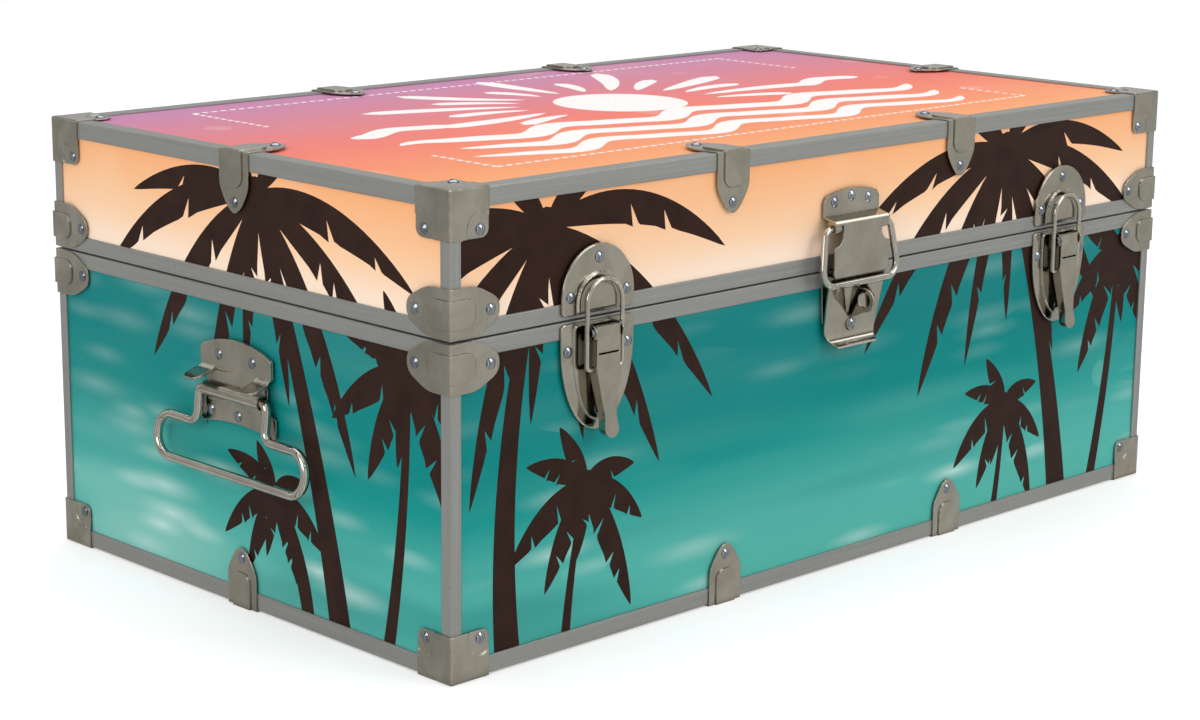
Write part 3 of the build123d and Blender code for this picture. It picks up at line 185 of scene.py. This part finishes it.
# ------------------------------------------------------------------ metals
def plated(name, dark, light, rough, edge_radius, worn, seam=None):
    """Plated steel: slow cloudy tone, fine pitting, tiny scratches, painted shade in the hollows
    and softened edges. seam is the reach of a painted shade line in tight gaps."""
    pit = (0.16, 0.15, 0.13, 1)
    # dark colours of painted shade: the first for the hollows, the second for tight gaps
    hollow_shade = (0.045, 0.040, 0.032, 1)
    gap = (0.030, 0.028, 0.026, 1)
    s = Surface(name)
    cloud = s.noise(scale=38.0, detail=4.0, distortion=0.4)
    fine = s.noise(scale=520.0)
    level = s.noise(detail=2.0, stretch=(240.0, 240.0, 2600.0))
    upright = s.noise(detail=2.0, stretch=(2600.0, 2600.0, 260.0))
    scratches = s.times(s.remap(level, span=(0.60, 0.74)), s.remap(upright, span=(0.45, 0.75)))
    base = s.mix(s.remap(cloud), dark, light)
    base = s.tint(base, mask=s.remap(fine, span=(0.62, 0.8)), strength=0.35 * worn, colour=pit)
    # painted shade: darkening wherever ambient occlusion finds a hollow, standing in for shade
    hollow_shade_mask = s.remap(s.cavity(distance=0.011), span=(0.72, 0.18), to=(0.0, 0.80), smooth=True)
    base = s.mix(hollow_shade_mask, base, hollow_shade)
    # painted shade: a dark line where ambient occlusion finds tight gaps, such as round rivet
    # heads and embossed outlines
    if seam:
        tight = s.remap(s.cavity(seam), span=(0.80, 0.45), to=(0.0, 0.85), smooth=True)
        base = s.mix(tight, base, gap)
    cloudy_rough = s.remap(cloud, to=(rough * 0.8, rough * 1.25))
    roughness = s.math("ADD", cloudy_rough, s.times(scratches, 0.18), clamp=True)
    height = s.math("ADD", s.times(s.noise(scale=90.0), 0.7), s.times(scratches, -0.10))
    normal = s.bump(height, strength=0.35, distance=0.00035, normal=s.bevel(edge_radius))
    return s.finish(Base_Color=base, Metallic=1.0, Roughness=roughness, Normal=normal)


NICKEL = plated("nickel plated sheet", dark=(0.42, 0.395, 0.325, 1), light=(0.56, 0.53, 0.45, 1),
                rough=0.105, edge_radius=0.0014, worn=0.5, seam=0.0014)
WIRE = plated("bright plated wire", dark=(0.50, 0.47, 0.405, 1), light=(0.66, 0.63, 0.56, 1),
              rough=0.07, edge_radius=0.0003, worn=0.4)
ZINC = plated("zinc plated rivet", dark=(0.22, 0.245, 0.28, 1), light=(0.36, 0.39, 0.44, 1),
              rough=0.08, edge_radius=0.0003, worn=0.8, seam=0.0022)


def brushed(name, stretch):
    """Extruded aluminium with fine die lines along its length."""
    dark, light = (0.310, 0.313, 0.298, 1), (0.395, 0.398, 0.380, 1)
    spot = (0.18, 0.18, 0.175, 1)
    s = Surface(name)
    lines = s.noise(stretch=stretch)
    slow = s.noise(scale=14.0)
    spots = s.noise(scale=300.0, detail=2.0)
    base = s.mix(s.remap(lines), dark, light)
    base = s.tint(base, mask=s.remap(spots, span=(0.62, 0.8)), strength=0.3, colour=spot)
    roughness = s.math("ADD", s.remap(lines, to=(0.34, 0.46)), s.times(slow, 0.06))
    normal = s.bump(lines, strength=0.22, distance=0.0002, normal=s.bevel(radius=0.0012))
    return s.finish(Base_Color=base, Metallic=0.62, Roughness=roughness, Normal=normal)


ALONG, ACROSS = 6.0, 1900.0  # noise scale along and across the die lines
ALU_X = brushed("extruded aluminium lengthwise", (ALONG, ACROSS, ACROSS))
ALU_Y = brushed("extruded aluminium crosswise", (ACROSS, ALONG, ACROSS))
ALU_Z = brushed("extruded aluminium upright", (ACROSS, ACROSS, ALONG))


# ------------------------------------------------------------------ plywood
def plywood(name, stretch):
    pore, pale = (0.30, 0.17, 0.08, 1), (0.72, 0.55, 0.36, 1)
    s = Surface(name)
    patches = s.noise(scale=3.0)
    grain = s.noise(detail=6.0, stretch=stretch, rough=0.62, distortion=1.2)
    pores = s.noise(detail=2.0, stretch=tuple(c * 6.0 for c in stretch))
    base = s.ramp(grain, [
        (0.25, (0.40, 0.235, 0.115, 1)), (0.45, (0.56, 0.37, 0.20, 1)),
        (0.62, (0.66, 0.47, 0.28, 1)), (0.8, (0.50, 0.32, 0.17, 1)),
    ])
    base = s.tint(base, mask=s.remap(pores, span=(0.58, 0.75)), strength=0.45, colour=pore)
    base = s.mix(s.remap(patches, to=(0.0, 0.25)), base, pale)
    roughness = s.remap(grain, span=(0.2, 0.8), to=(0.48, 0.62))
    relief = s.math("SUBTRACT", grain, s.times(pores, 0.6))
    normal = s.bump(relief, strength=0.30, distance=0.0005)
    return s.finish(Base_Color=base, Roughness=roughness, Normal=normal)


PLY_X = plywood("plywood grain along", (5.0, 70.0, 70.0))
PLY_Y = plywood("plywood grain across", (70.0, 5.0, 70.0))


# ------------------------------------------------------------------ printed laminate
def satin(s, base):
    """The common surface of the laminate: a faint texture and cloudy smudges."""
    texture = s.noise(scale=700.0, detail=2.0)
    smudge = s.noise(scale=9.0, detail=4.0)
    roughness = s.remap(smudge, to=(0.36, 0.46))
    normal = s.bump(texture, strength=0.10, distance=0.00012)
    return s.finish(Base_Color=base, Roughness=roughness, Normal=normal, Specular_IOR_Level=0.09)


def bokeh(s, scale, offset, keep, size):
    """Soft out-of-focus discs."""
    chosen, distance = s.cells(scale, (1, 1, 1), offset, keep)
    return s.times(chosen, s.remap(distance, span=(size, size * 0.72), smooth=True))


def sky_material():
    s = Surface("printed sky")
    height = s.remap(s.axis(2), span=SKY_SPAN)
    base = s.ramp(height, srgb_stops([
        (0.0, 254, 234, 214), (0.14, 253, 226, 202), (0.34, 252, 209, 170),
        (0.56, 251, 195, 148), (0.80, 250, 182, 130), (1.0, 250, 174, 119),
    ]))
    haze = s.noise(scale=7.0, detail=2.0)
    base = s.mix(s.remap(haze, span=(0.5, 0.75), to=(0.0, 0.35)), base, srgb(253, 220, 186))
    discs = bokeh(s, scale=9.0, offset=(3, 1, 7), keep=0.62, size=0.22)
    return satin(s, s.tint(base, mask=discs, strength=0.16, colour=srgb(255, 240, 220)))


# Bright glints on the water: scale across, scale up, offset, keep, size, power
GLINTS = [
    (9.0, 46.0, (3.3, 1.7, 0.6), 0.50, 0.46, 0.62),
    (6.0, 34.0, (7.9, 4.2, 3.1), 0.62, 0.44, 0.55),
]


def water_material(name, squeeze):
    """Blue-green water with soft bright glints; squeeze narrows the ripples."""
    s = Surface(name)
    height = s.remap(s.axis(2), span=WATER_SPAN)
    base = s.ramp(height, srgb_stops([
        (0.0, 84, 182, 170), (0.12, 86, 182, 170), (0.24, 82, 178, 168), (0.335, 68, 169, 160),
        (0.46, 18, 148, 142), (0.58, 0, 135, 131), (0.72, 4, 131, 129), (0.82, 12, 128, 127),
        (0.92, 22, 130, 129), (1.0, 36, 134, 132),
    ]))
    ripple = s.noise(detail=1.0, stretch=(2.2 * squeeze, 2.2 * squeeze, 17.0),
                     offset=(1.3, 4.1, 2.2), rough=0.4)
    # how strongly the light breaks up at each height
    amount = s.ramp(height, [(position, grey(value)) for position, value in (
        (0.0, 0.9), (0.26, 0.9), (0.46, 0.30), (0.62, 0.05), (0.80, 0.10), (1.0, 0.10))])
    broad = s.times(s.remap(ripple, span=(0.48, 0.80), to=(0.0, 0.85), smooth=True), amount)
    base = s.mix(s.math("MINIMUM", broad, 0.7), base, srgb(148, 208, 198))
    trough = s.noise(detail=1.0, stretch=(2.4, 2.4, 22.0), offset=(8.1, 3.7, 6.6))
    dark = s.remap(trough, span=(0.54, 0.8), to=(0.0, 0.5), smooth=True)
    base = s.mix(dark, base, srgb(0, 124, 122))
    falloff, least = 1.7, 0.13  # how sharply a glint fades outward, and its least strength
    for across, up, offset, keep, size, power in GLINTS:
        stretch = (across * squeeze, across * squeeze, up)
        chosen, distance = s.cells(1.0, stretch, offset, keep)
        soft = s.math("POWER", s.remap(distance, span=(size, 0.0)), falloff)
        glint = s.times(s.times(chosen, soft), s.math("MULTIPLY_ADD", amount, power, least))
        base = s.mix(glint, base, srgb(216, 240, 234))
    discs = bokeh(s, scale=11.0, offset=(2, 5, 1), keep=0.72, size=0.16)
    return satin(s, s.tint(base, mask=discs, strength=0.12, colour=srgb(190, 232, 226)))


def dusk_material():
    """Orange at the front of the lid, running to violet at the back."""
    s = Surface("printed dusk")
    depth = s.remap(s.axis(1), span=DUSK_SPAN)
    base = s.ramp(depth, srgb_stops([
        (0.0, 248, 174, 122), (0.08, 248, 164, 109), (0.18, 246, 151, 107),
        (0.31, 245, 137, 109), (0.42, 242, 128, 110), (0.52, 237, 126, 120),
        (0.63, 226, 129, 137), (0.76, 214, 131, 152), (0.88, 204, 134, 168),
        (1.0, 196, 134, 180),
    ]))
    cloud = s.noise(scale=5.0, detail=2.0)
    base = s.mix(s.remap(cloud, span=(0.52, 0.75), to=(0.0, 0.20)), base, srgb(250, 190, 150))
    large = bokeh(s, scale=8.0, offset=(1, 2, 3), keep=0.60, size=0.24)
    small = bokeh(s, scale=15.0, offset=(6, 2, 9), keep=0.66, size=0.20)
    discs = s.math("MAXIMUM", large, small)
    return satin(s, s.tint(base, mask=discs, strength=0.16, colour=srgb(255, 225, 215)))


def ink_material():
    s = Surface("printed dark brown")
    mottle = s.remap(s.noise(scale=60.0))
    return satin(s, s.mix(mottle, srgb(45, 28, 22), srgb(54, 34, 27)))


def white_material():
    s = Surface("printed white")
    specks = s.remap(s.noise(scale=420.0, detail=2.0), span=(0.55, 0.7), to=(0.0, 0.5))
    return satin(s, s.mix(specks, srgb(252, 249, 247), srgb(244, 214, 206)))


SKY = sky_material()
WATER = water_material("printed water", squeeze=1.0)
WATER_END = water_material("printed water across", squeeze=1.25)
DUSK = dusk_material()
INK = ink_material()
WHITE = white_material()


# ------------------------------------------------------------------ palm drawings
# A crown is its frond width in units of the reach, and its fronds: tip x and y in units of the
# reach, how much the rib bows up, relative width, number of cuts.
CROWN = (0.168, [
    (-0.33, 0.30, 0.10, 0.56, 0), (0.36, 0.26, 0.12, 0.60, 0), (-0.84, -0.06, 0.20, 0.66, 1),
    (0.99, -0.24, 0.21, 0.76, 2), (0.92, -0.74, 0.16, 0.74, 3), (0.58, -1.02, 0.10, 0.72, 3),
    (0.22, -0.88, 0.06, 0.50, 2), (-0.06, -0.78, 0.03, 0.50, 2), (-0.37, -0.98, 0.08, 0.64, 3),
    (-0.74, -0.80, 0.13, 0.72, 3), (-0.99, -0.38, 0.19, 0.74, 2),
])
SMALL_CROWN = (0.190, [
    (-0.24, 0.38, 0.06, 0.78, 1), (-0.56, 0.16, 0.14, 0.86, 2), (0.42, 0.08, 0.16, 0.86, 1),
    (0.56, -0.40, 0.14, 1.0, 2), (0.42, -0.92, 0.07, 1.06, 3), (-0.12, -0.58, 0.03, 0.66, 1),
    (-0.34, -0.68, 0.07, 0.92, 2), (-0.66, -0.46, 0.15, 1.0, 2),
])

# Palms, mm: seed, crown centre, reach, foot x, trunk width at top and foot, trunk bend, crown,
# -1 to mirror the crown
FRONT_PALMS = [
    (11, (-317, 309), 188, -350, 11, 25, -36, CROWN, 1),
    (12, (-277, 122), 108, -298, 4.5, 10, -6, SMALL_CROWN, 1),
    (13, (196, 313), 192, 290, 12, 27, 24, CROWN, -1),
    (14, (208, 100), 98, 196, 4.5, 9, 4, SMALL_CROWN, 1),
    (15, (362, 214), 122, 332, 7, 13, 12, SMALL_CROWN, -1),
]
# Seen from outside the left end, x runs along -y of the case
END_PALMS = [
    (21, (22, 314), 180, 116, 12, 25, 20, CROWN, 1),
    (22, (38, 98), 98, 78, 5, 10, 10, SMALL_CROWN, 1),
    (23, (188, 214), 120, 162, 7, 13, 12, SMALL_CROWN, 1),
]
FOOT_LEVEL = -10  # the trunks start below the case, mm
FROND_STEPS = 22
TRUNK_STEPS = 26


def curve(start, middle, end, t):
    """Point on a quadratic curve."""
    return start * (1 - t) ** 2 + middle * 2 * t * (1 - t) + end * t * t


def heading(start, middle, end, t):
    """Unit direction of the quadratic curve."""
    return ((middle - start) * (1 - t) + (end - middle) * t).normalized()


def ring(sides, step, squash=1.0):
    """Points round a unit circle, step radians apart."""
    return [Vector((math.cos(k * step), math.sin(k * step) * squash)) for k in range(sides)]


def palm_frond(rng, root, tip, bow, width, cuts):
    """One broad drooping frond: a smooth upper edge, a pointed tip and a lower edge feathered
    by slanted cuts. Returns one polygon."""
    span = tip - root
    side = 1.0 if span.x >= 0 else -1.0
    up = Vector((-span.y, span.x)).normalized() * side
    middle = root + span * 0.46 + up * (bow * span.length)

    def edge(t, share):
        """The rib point and the outward offset of the frond's width there; share is not used."""
        along = heading(root, middle, tip, t)
        outward = Vector((-along.y, along.x)) * side
        half = width * max(0.30 * (1 - t) ** 2, math.sin(math.pi * t ** 0.82) ** 0.75)
        return curve(root, middle, tip, t), outward * half

    def upper_point(t):
        rib, reach = edge_parts(t)
        return rib + reach * 0.38

    def lower_point(t, share):
        rib, reach = edge_parts(t)
        return rib - reach * 0.62 * share

    def edge_parts(t):
        return edge(t, 1.0)

    upper = [upper_point(k / FROND_STEPS) for k in range(FROND_STEPS)] + [tip]
    slots = sorted((0.34 + 0.54 * (k + rng.uniform(0.2, 0.8)) / cuts for k in range(cuts)),
                   reverse=True)
    lower = []
    for k in range(FROND_STEPS):
        t = 1.0 - (k + 0.5) / FROND_STEPS
        if not any(-0.050 < t - slot < 0.016 for slot in slots):
            lower.append((t, lower_point(t, 1.0)))
    for slot in slots:
        # the tipward lip, the bottom of the cut and the lip nearer the root
        depth = rng.uniform(0.05, 0.42)
        lower.append((slot + 0.014, lower_point(slot + 0.014, 0.93)))
        lower.append((slot - 0.012, lower_point(slot - rng.uniform(0.040, 0.062), depth)))
        lower.append((slot - 0.026, lower_point(slot - 0.016, 1.12)))
    lower.sort(key=lambda entry: -entry[0])
    return upper + [point for _, point in lower]


def palm(seed, crown, reach, foot_x, top_width, foot_width, bend, crown_kind, mirror):
    """A whole palm as a list of polygons: trunk, fronds and the knot at the crown."""
    rng = random.Random(seed)
    crown = Vector(crown)
    foot = Vector((foot_x, FOOT_LEVEL))
    middle = (crown + foot) / 2 + Vector((bend, 0))
    left, right = [], []
    for k in range(TRUNK_STEPS + 1):
        t = k / TRUNK_STEPS
        point = curve(crown, middle, foot, t)
        along = heading(crown, middle, foot, t)
        across = Vector((along.y, -along.x))
        half = (top_width + (foot_width - top_width) * t ** 1.25) / 2
        left.append(point - across * half)
        right.append(point + across * half)
    polygons = [left + right[::-1]]
    frond_width, fronds = crown_kind
    for x, y, bow, width, cuts in fronds:
        x = x * mirror + rng.uniform(-0.04, 0.04)
        y = y + rng.uniform(-0.05, 0.05)
        tip = crown + Vector((x, y)) * reach
        bow = bow * rng.uniform(0.8, 1.2)
        width = frond_width * width * reach * rng.uniform(0.92, 1.08)
        polygons.append(palm_frond(rng, crown, tip, bow, width, cuts))
    knot = ring(sides=12, step=0.524, squash=0.8)
    polygons.append([crown + point * reach * 0.085 for point in knot])
    return polygons


# ------------------------------------------------------------------ lid drawing
SUN = Vector((6, 22))
SUN_RADIUS = 56
RAY_START = 72
RAY_STEPS = 10
RAY_STRETCH = 0.28  # the rays reach this much further sideways
# Waves, mm: x from, x to, middle y, height, wavelength, thickness, phase in radians
WAVES = [
    (-292, 292, -56, 12, 146, 24, 0.4), (-268, 276, -96, 12, 146, 22, 0.9),
    (-286, 262, -134, 12, 146, 19, 1.4), (-296, -190, 10, 8, 120, 20, 1.2),
    (206, 298, 14, 8, 120, 20, 0.2),
]
WAVE_STEPS = 72
# Dashed border, mm
BORDER_X = 304
BORDER_FRONT, BORDER_BACK = -168, 190
DASH_PITCH, DASH, DASH_HALF = 9, 5.5, 1.9


def brush(line, thick, start, end):
    """A brush stroke along a row of points, tapering over a share of each end."""
    last = len(line) - 1
    left, right = [], []
    for k, point in enumerate(line):
        along = line[min(k + 1, last)] - line[max(k - 1, 0)]
        across = Vector((-along.y, along.x)).normalized()
        t = k / last
        half = thick * 0.5 * min(1.0, (t / start) ** 0.5, ((1 - t) / end) ** 0.5)
        left.append(point + across * half)
        right.append(point - across * half)
    return left + right[::-1]


def sun_ray(rng, index):
    """One ray; every second one is longer and thicker."""
    odd = index % 2
    angle = math.radians(-22 + index * 16)
    end = (178 if odd else 132) * rng.uniform(0.95, 1.05)
    out = Vector((math.cos(angle), math.sin(angle)))
    bow = Vector((-out.y, out.x)) * rng.uniform(-6, 6)
    line = []
    for k in range(RAY_STEPS + 1):
        distance = RAY_START + (end - RAY_START) * k / RAY_STEPS
        point = SUN + out * distance + bow * math.sin(math.pi * k / RAY_STEPS)
        line.append(Vector((point.x * (1 + RAY_STRETCH) - SUN.x * RAY_STRETCH, point.y)))
    return brush(line, 19 if odd else 15, start=0.6, end=0.12)


def wave_stroke(x_from, x_to, middle, height, wavelength, thick, phase):
    line = []
    for k in range(WAVE_STEPS + 1):
        x = x_from + (x_to - x_from) * k / WAVE_STEPS
        turn = x / wavelength * 2 * math.pi + phase
        line.append(Vector((x, middle + height * (math.sin(turn) + 0.25 * math.sin(2 * turn)))))
    return brush(line, thick, start=0.12, end=0.12)


def rectangle(x0, y0, x1, y1):
    return [Vector((x0, y0)), Vector((x1, y0)), Vector((x1, y1)), Vector((x0, y1))]


def border():
    """Dashes along all four sides, with a gap in the middle of the two ends."""
    dashes = []
    for x in range(-BORDER_X, BORDER_X + 1, DASH_PITCH):
        for y in (BORDER_FRONT, BORDER_BACK):
            dashes.append(rectangle(x, y - DASH_HALF, x + DASH, y + DASH_HALF))
    for y in range(BORDER_FRONT, 188, DASH_PITCH):
        if y > 88 or y < -96:
            for x in (-BORDER_X, BORDER_X):
                dashes.append(rectangle(x - DASH_HALF, y, x + DASH_HALF, y + DASH))
    return dashes


def sun_and_waves():
    rng = random.Random(5)
    disc = [SUN + point * SUN_RADIUS for point in ring(sides=48, step=0.1309)]
    rays = [sun_ray(rng, k) for k in range(15)]
    return [disc] + rays + [wave_stroke(*row) for row in WAVES] + border()


# ------------------------------------------------------------------ printed sheets
def twice_area(points):
    """Twice the signed area, positive when the points run anticlockwise."""
    return sum(a.x * b.y - b.x * a.y for a, b in zip(points, points[1:] + points[:1]))


def inside(p, polygon, box):
    """Is point p inside the polygon?"""
    if not (box[0] < p.x < box[1] and box[2] < p.y < box[3]):
        return False
    odd = False
    for i, a in enumerate(polygon):
        b = polygon[i - 1]
        if (a.y > p.y) != (b.y > p.y) and p.x < (b.x - a.x) * (p.y - a.y) / (b.y - a.y) + a.x:
            odd = not odd
    return odd


def cut_rectangle(width, height, start, drawing):
    """Split a rectangle along the drawing, whose point start falls on the lower-left corner.
    Returns the points, the faces and each face's material index, 1 inside the drawing."""
    points = rectangle(0, 0, width, height)
    outlines = [[0, 1, 2, 3]]
    shapes = []
    for polygon in drawing:
        shape = [p - start for p in polygon]
        xs, ys = [p.x for p in shape], [p.y for p in shape]
        box = (min(xs), max(xs), min(ys), max(ys))
        if box[1] < -1 or box[0] > width + 1 or box[3] < -1 or box[2] > height + 1:
            continue
        area = twice_area(shape)
        if abs(area) < 0.2:
            continue
        if area < 0:
            shape.reverse()
        outlines.append(list(range(len(points), len(points) + len(shape))))
        points += shape
        shapes.append((shape, box))
    points, _, cells, *_ = delaunay_2d_cdt(points, [], outlines, 1, 0.002)
    faces, inks = [], []
    for cell in cells:
        x = sum(points[i].x for i in cell) / len(cell)
        y = sum(points[i].y for i in cell) / len(cell)
        area = twice_area([points[i] for i in cell])
        if not (0 < x < width and 0 < y < height) or abs(area) < 1e-7:
            continue
        faces.append(cell if area > 0 else cell[::-1])
        centre = Vector((x, y))
        inks.append(1 if any(inside(centre, *shape) for shape in shapes) else 0)
    return points, faces, inks


def rim_loop(rim):
    """Walk the rim edges backwards into one loop of vertices."""
    follow = {b: a for a, b in rim}
    loop = [rim[0][0]]
    while follow[loop[-1]] != loop[0]:
        loop.append(follow[loop[-1]])
    return loop


def build_sheet(part, side, corner, right, up, size, start, drawing, materials):
    """A printed laminate sheet. corner is its outer lower-left corner in mm, right and up are
    unit vectors. The drawing is cut into the outer surface."""
    flat, cells, inks = cut_rectangle(*size, start, drawing)
    used = sorted({i for cell in cells for i in cell})
    index = {old: new for new, old in enumerate(used)}
    corner, right, up = Vector(corner), Vector(right), Vector(up)
    inset = right.cross(up) * SHEET_DEPTH
    places = [corner + right * flat[i].x + up * flat[i].y for i in used]
    outer = [place * MM for place in places]
    inner = [(place - inset) * MM for place in places]
    count = len(outer)

    faces = [[index[i] for i in cell] for cell in cells]
    edges = dict.fromkeys(edge for face in faces for edge in zip(face, face[1:] + face[:1]))
    rim = [(a, b) for a, b in edges if (b, a) not in edges]
    faces.append([i + count for i in rim_loop(rim)])
    faces += [[b, a, a + count, b + count] for a, b in rim]

    name = f"{part}_{side}_print"
    mesh = bpy.data.meshes.new(name)
    mesh.from_pydata(outer + inner, [], faces)
    for material in materials:
        mesh.materials.append(material)
    mesh.polygons.foreach_set("material_index", inks + [0] * (len(rim) + 1))
    mesh.update()
    # the flat back uses only its rim, so the inner vertices behind the drawing go
    bm = bmesh.new()
    bm.from_mesh(mesh)
    loose = [v for v in bm.verts if not v.link_faces]
    bmesh.ops.delete(bm, geom=loose, context="VERTS")
    bm.to_mesh(mesh)
    bm.free()
    obj = bpy.data.objects.new(name, mesh)
    bpy.context.scene.collection.objects.link(obj)
    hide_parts(f"{part}_{side}_laminate")
    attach(obj, part)


def box_mm(part, side):
    """Low and high corners of a laminate piece in mm."""
    return [[c * 1000.0 for c in v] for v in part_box(f"{part}_{side}_laminate")]


# Upright sheets: side, whether the lower-left corner is at the low (0) or high (1) x and y, the
# axis the sheet runs along (0 x, 1 y) and its direction
SIDES = [
    ("front", 0, 0, 0, 1), ("back", 1, 1, 0, -1), ("left", 0, 1, 1, -1), ("right", 1, 0, 1, 1),
]
UP = (0, 0, 1)
MIDDLE = (0, BACK)  # x and y that the drawings are centred on


def print_sides(part, prints):
    """prints holds the material for the long sides and for the ends."""
    for side, x_end, y_end, axis, sign in SIDES:
        box = low, high = box_mm(part, side)
        corner = (box[x_end][0], box[y_end][1], low[2])
        right = (0, sign, 0) if axis else (sign, 0, 0)
        size = (high[axis] - low[axis], high[2] - low[2])
        start = Vector((sign * (corner[axis] - MIDDLE[axis]), low[2]))
        build_sheet(part, side, corner, right, UP, size, start, PALM_DRAWINGS[axis],
                    [prints[axis], INK])


def print_top():
    low, high = box_mm("lid", "top")
    size = (high[0] - low[0], high[1] - low[1])
    build_sheet("lid", "top", (low[0], low[1], high[2]), (1, 0, 0), (0, 1, 0), size,
                Vector((low[0], low[1] - BACK)), sun_and_waves(), [DUSK, WHITE])


PALM_DRAWINGS = [[polygon for row in palms for polygon in palm(*row)]
                 for palms in (FRONT_PALMS, END_PALMS)]
print_sides("lid", (SKY, SKY))
print_sides("base", (WATER, WATER_END))
print_top()


# ------------------------------------------------------------------ CAD nodes' materials
def cad_material(name):
    def has(*words):
        return any(word in name for word in words)

    if name.endswith("_laminate"):
        return SKY
    if name.endswith("_panel"):
        return PLY_Y if has("left", "right") else PLY_X
    if has("_edge_ends", "_rim_ends"):
        return ALU_Y
    if has("_edge_front", "_edge_back", "_rim_front", "_rim_back"):
        return ALU_X
    if has("corner_angles"):
        return ALU_Z
    if has("rivets", "_pins"):
        return ZINC
    return WIRE if has("_bail") else NICKEL


for name, obj in nodes.items():
    material = cad_material(name)
    if not obj.material_slots:
        obj.data.materials.append(material)
    for slot in obj.material_slots:
        slot.material = material


# ------------------------------------------------------------------ studio
# Brightness within each eighth of the compass: an even tone, a dark strip, a bright strip
TONE = (0.46, 0.457, 0.445, 1)
STRIPS = [(0.27, 0.46), (0.33, 0.12), (0.45, 0.12), (0.52, 1.15), (0.62, 1.15), (0.70, 0.46)]
# Brightness of the mirrored world by height, from the horizon to straight up
HEIGHTS = [(0.20, 1.1), (0.46, 1.0), (0.52, 0.10), (0.60, 2.4), (0.68, 0.30), (0.82, 1.6)]


def around(graph, x, y):
    """Brightness of the studio seen in reflections, by compass direction of the ray. Flat plates
    keep one tone from every side and bends catch lines. It falls off gently to the left and
    back."""
    angle = graph.math("ARCTAN2", y, x)
    eighth = graph.math("FRACT", graph.math("MULTIPLY_ADD", angle, 8.0 / (2 * math.pi), 8.0))
    strips = [(position, (v, v * 0.995, v * 0.975, 1)) for position, v in STRIPS]
    tone = graph.ramp(eighth, [(0.0, TONE), *strips, (1.0, TONE)])
    swing = graph.math("COSINE", graph.math("ADD", angle, math.radians(45)))
    slope = graph.math("MULTIPLY_ADD", swing, 0.17, 1.0)
    return graph.add("VectorMath", {0: tone, 3: slope}, operation="SCALE").outputs[0]


def floor():
    """A pale floor, lifted for the camera and replaced by the studio tones in reflections."""
    half = 9.0
    corners = [(-half, -half, 0), (half, -half, 0), (half, half, 0), (-half, half, 0)]
    mesh = bpy.data.meshes.new("floor")
    mesh.from_pydata(corners, [], [(0, 1, 2, 3)])
    obj = bpy.data.objects.new("floor", mesh)
    bpy.context.scene.collection.objects.link(obj)
    s = Surface("pale floor")
    base = s.mix(s.noise(scale=6.0), grey(0.86), grey(0.89))
    material = s.finish(Base_Color=base, Roughness=0.75)
    path = s.add("LightPath")
    lift = s.times(path.outputs["Is Camera Ray"], 0.34)
    glow = s.glow("Emission", grey(1.0), lift)
    lit = s.add("AddShader", {0: s.bsdf.outputs[0], 1: glow}).outputs[0]
    geometry = s.add("NewGeometry")
    ray = s.add("SeparateXYZ", {0: geometry.outputs["Incoming"]})
    tones = around(s, s.times(ray.outputs[0], -1.0), s.times(ray.outputs[1], -1.0))
    mirrored = s.glow("Emission", tones, strength=1.0)
    s.put(s.out.inputs[0], s.mix_shader(path.outputs["Is Glossy Ray"], lit, mirrored))
    mesh.materials.append(material)


def studio_world():
    """Soft white light, striped tones in reflections and plain white for the camera."""
    world = bpy.data.worlds.new("studio")
    bpy.context.scene.world = world
    world.use_nodes = True
    g = Graph(world.node_tree)
    out = g.add("OutputWorld")
    soft = g.glow("Background", grey(1.0), strength=0.74)
    ray = g.add("SeparateXYZ", {0: g.add("TexCoord").outputs["Generated"]})
    strip = around(g, ray.outputs[0], ray.outputs[1])
    bands = [(position, grey(value)) for position, value in HEIGHTS]
    vertical = g.ramp(ray.outputs[2], [(0.0, (1.0, 1.0, 0.98, 1)), *bands, (1.0, grey(1.6))])
    tones = g.mix(1.0, vertical, strip, mode="MULTIPLY")
    mirrored = g.glow("Background", tones, strength=1.0)
    path = g.add("LightPath")
    lighting = g.mix_shader(path.outputs["Is Glossy Ray"], soft, mirrored)
    white = g.glow("Background", grey(1.0), strength=1.0)
    g.put(out.inputs[0], g.mix_shader(path.outputs["Is Camera Ray"], lighting, white))


def area(name, place, target, size, watts):
    light = bpy.data.lights.new(name, "AREA")
    light.shape = "RECTANGLE"
    light.size, light.size_y = size
    light.energy = watts
    obj = bpy.data.objects.new(name, light)
    bpy.context.scene.collection.objects.link(obj)
    obj.location = place
    obj.rotation_mode = "QUATERNION"
    obj.rotation_quaternion = (Vector(target) - Vector(place)).to_track_quat("-Z", "Y")


def camera():
    """Looks from the front left, slightly down."""
    azimuth, elevation, roll = math.radians(-44.5), math.radians(13.0), math.radians(0.6)
    data = bpy.data.cameras.new("camera")
    data.lens = 78.9
    data.sensor_width = 36.0
    data.clip_start, data.clip_end = 0.05, 60.0
    obj = bpy.data.objects.new("camera", data)
    bpy.context.scene.collection.objects.link(obj)
    level = math.cos(elevation)
    backward = Vector((math.sin(azimuth) * level, -math.cos(azimuth) * level,
                       math.sin(elevation)))
    obj.location = (-1.525, -1.515 + BACK * MM, 0.622)
    obj.rotation_mode = "QUATERNION"
    aim = (-backward).to_track_quat("-Z", "Y")
    obj.rotation_quaternion = aim @ Quaternion((0, 0, 1), roll)
    bpy.context.scene.camera = obj


floor()
studio_world()
area("key", place=(0.9, -2.6, 1.7), target=(0.1, 0, 0.18), size=(1.6, 1.2), watts=19)
area("left_fill", place=(-2.6, -0.3, 1.2), target=(-0.3, 0, 0.15), size=(1.4, 1.2), watts=13)
area("top_soft", place=(0.2, 0.4, 2.6), target=(0, 0, 0.3), size=(2.4, 1.8), watts=17)
view = bpy.context.scene.view_settings
view.view_transform = "Standard"
view.look = "None"
camera()
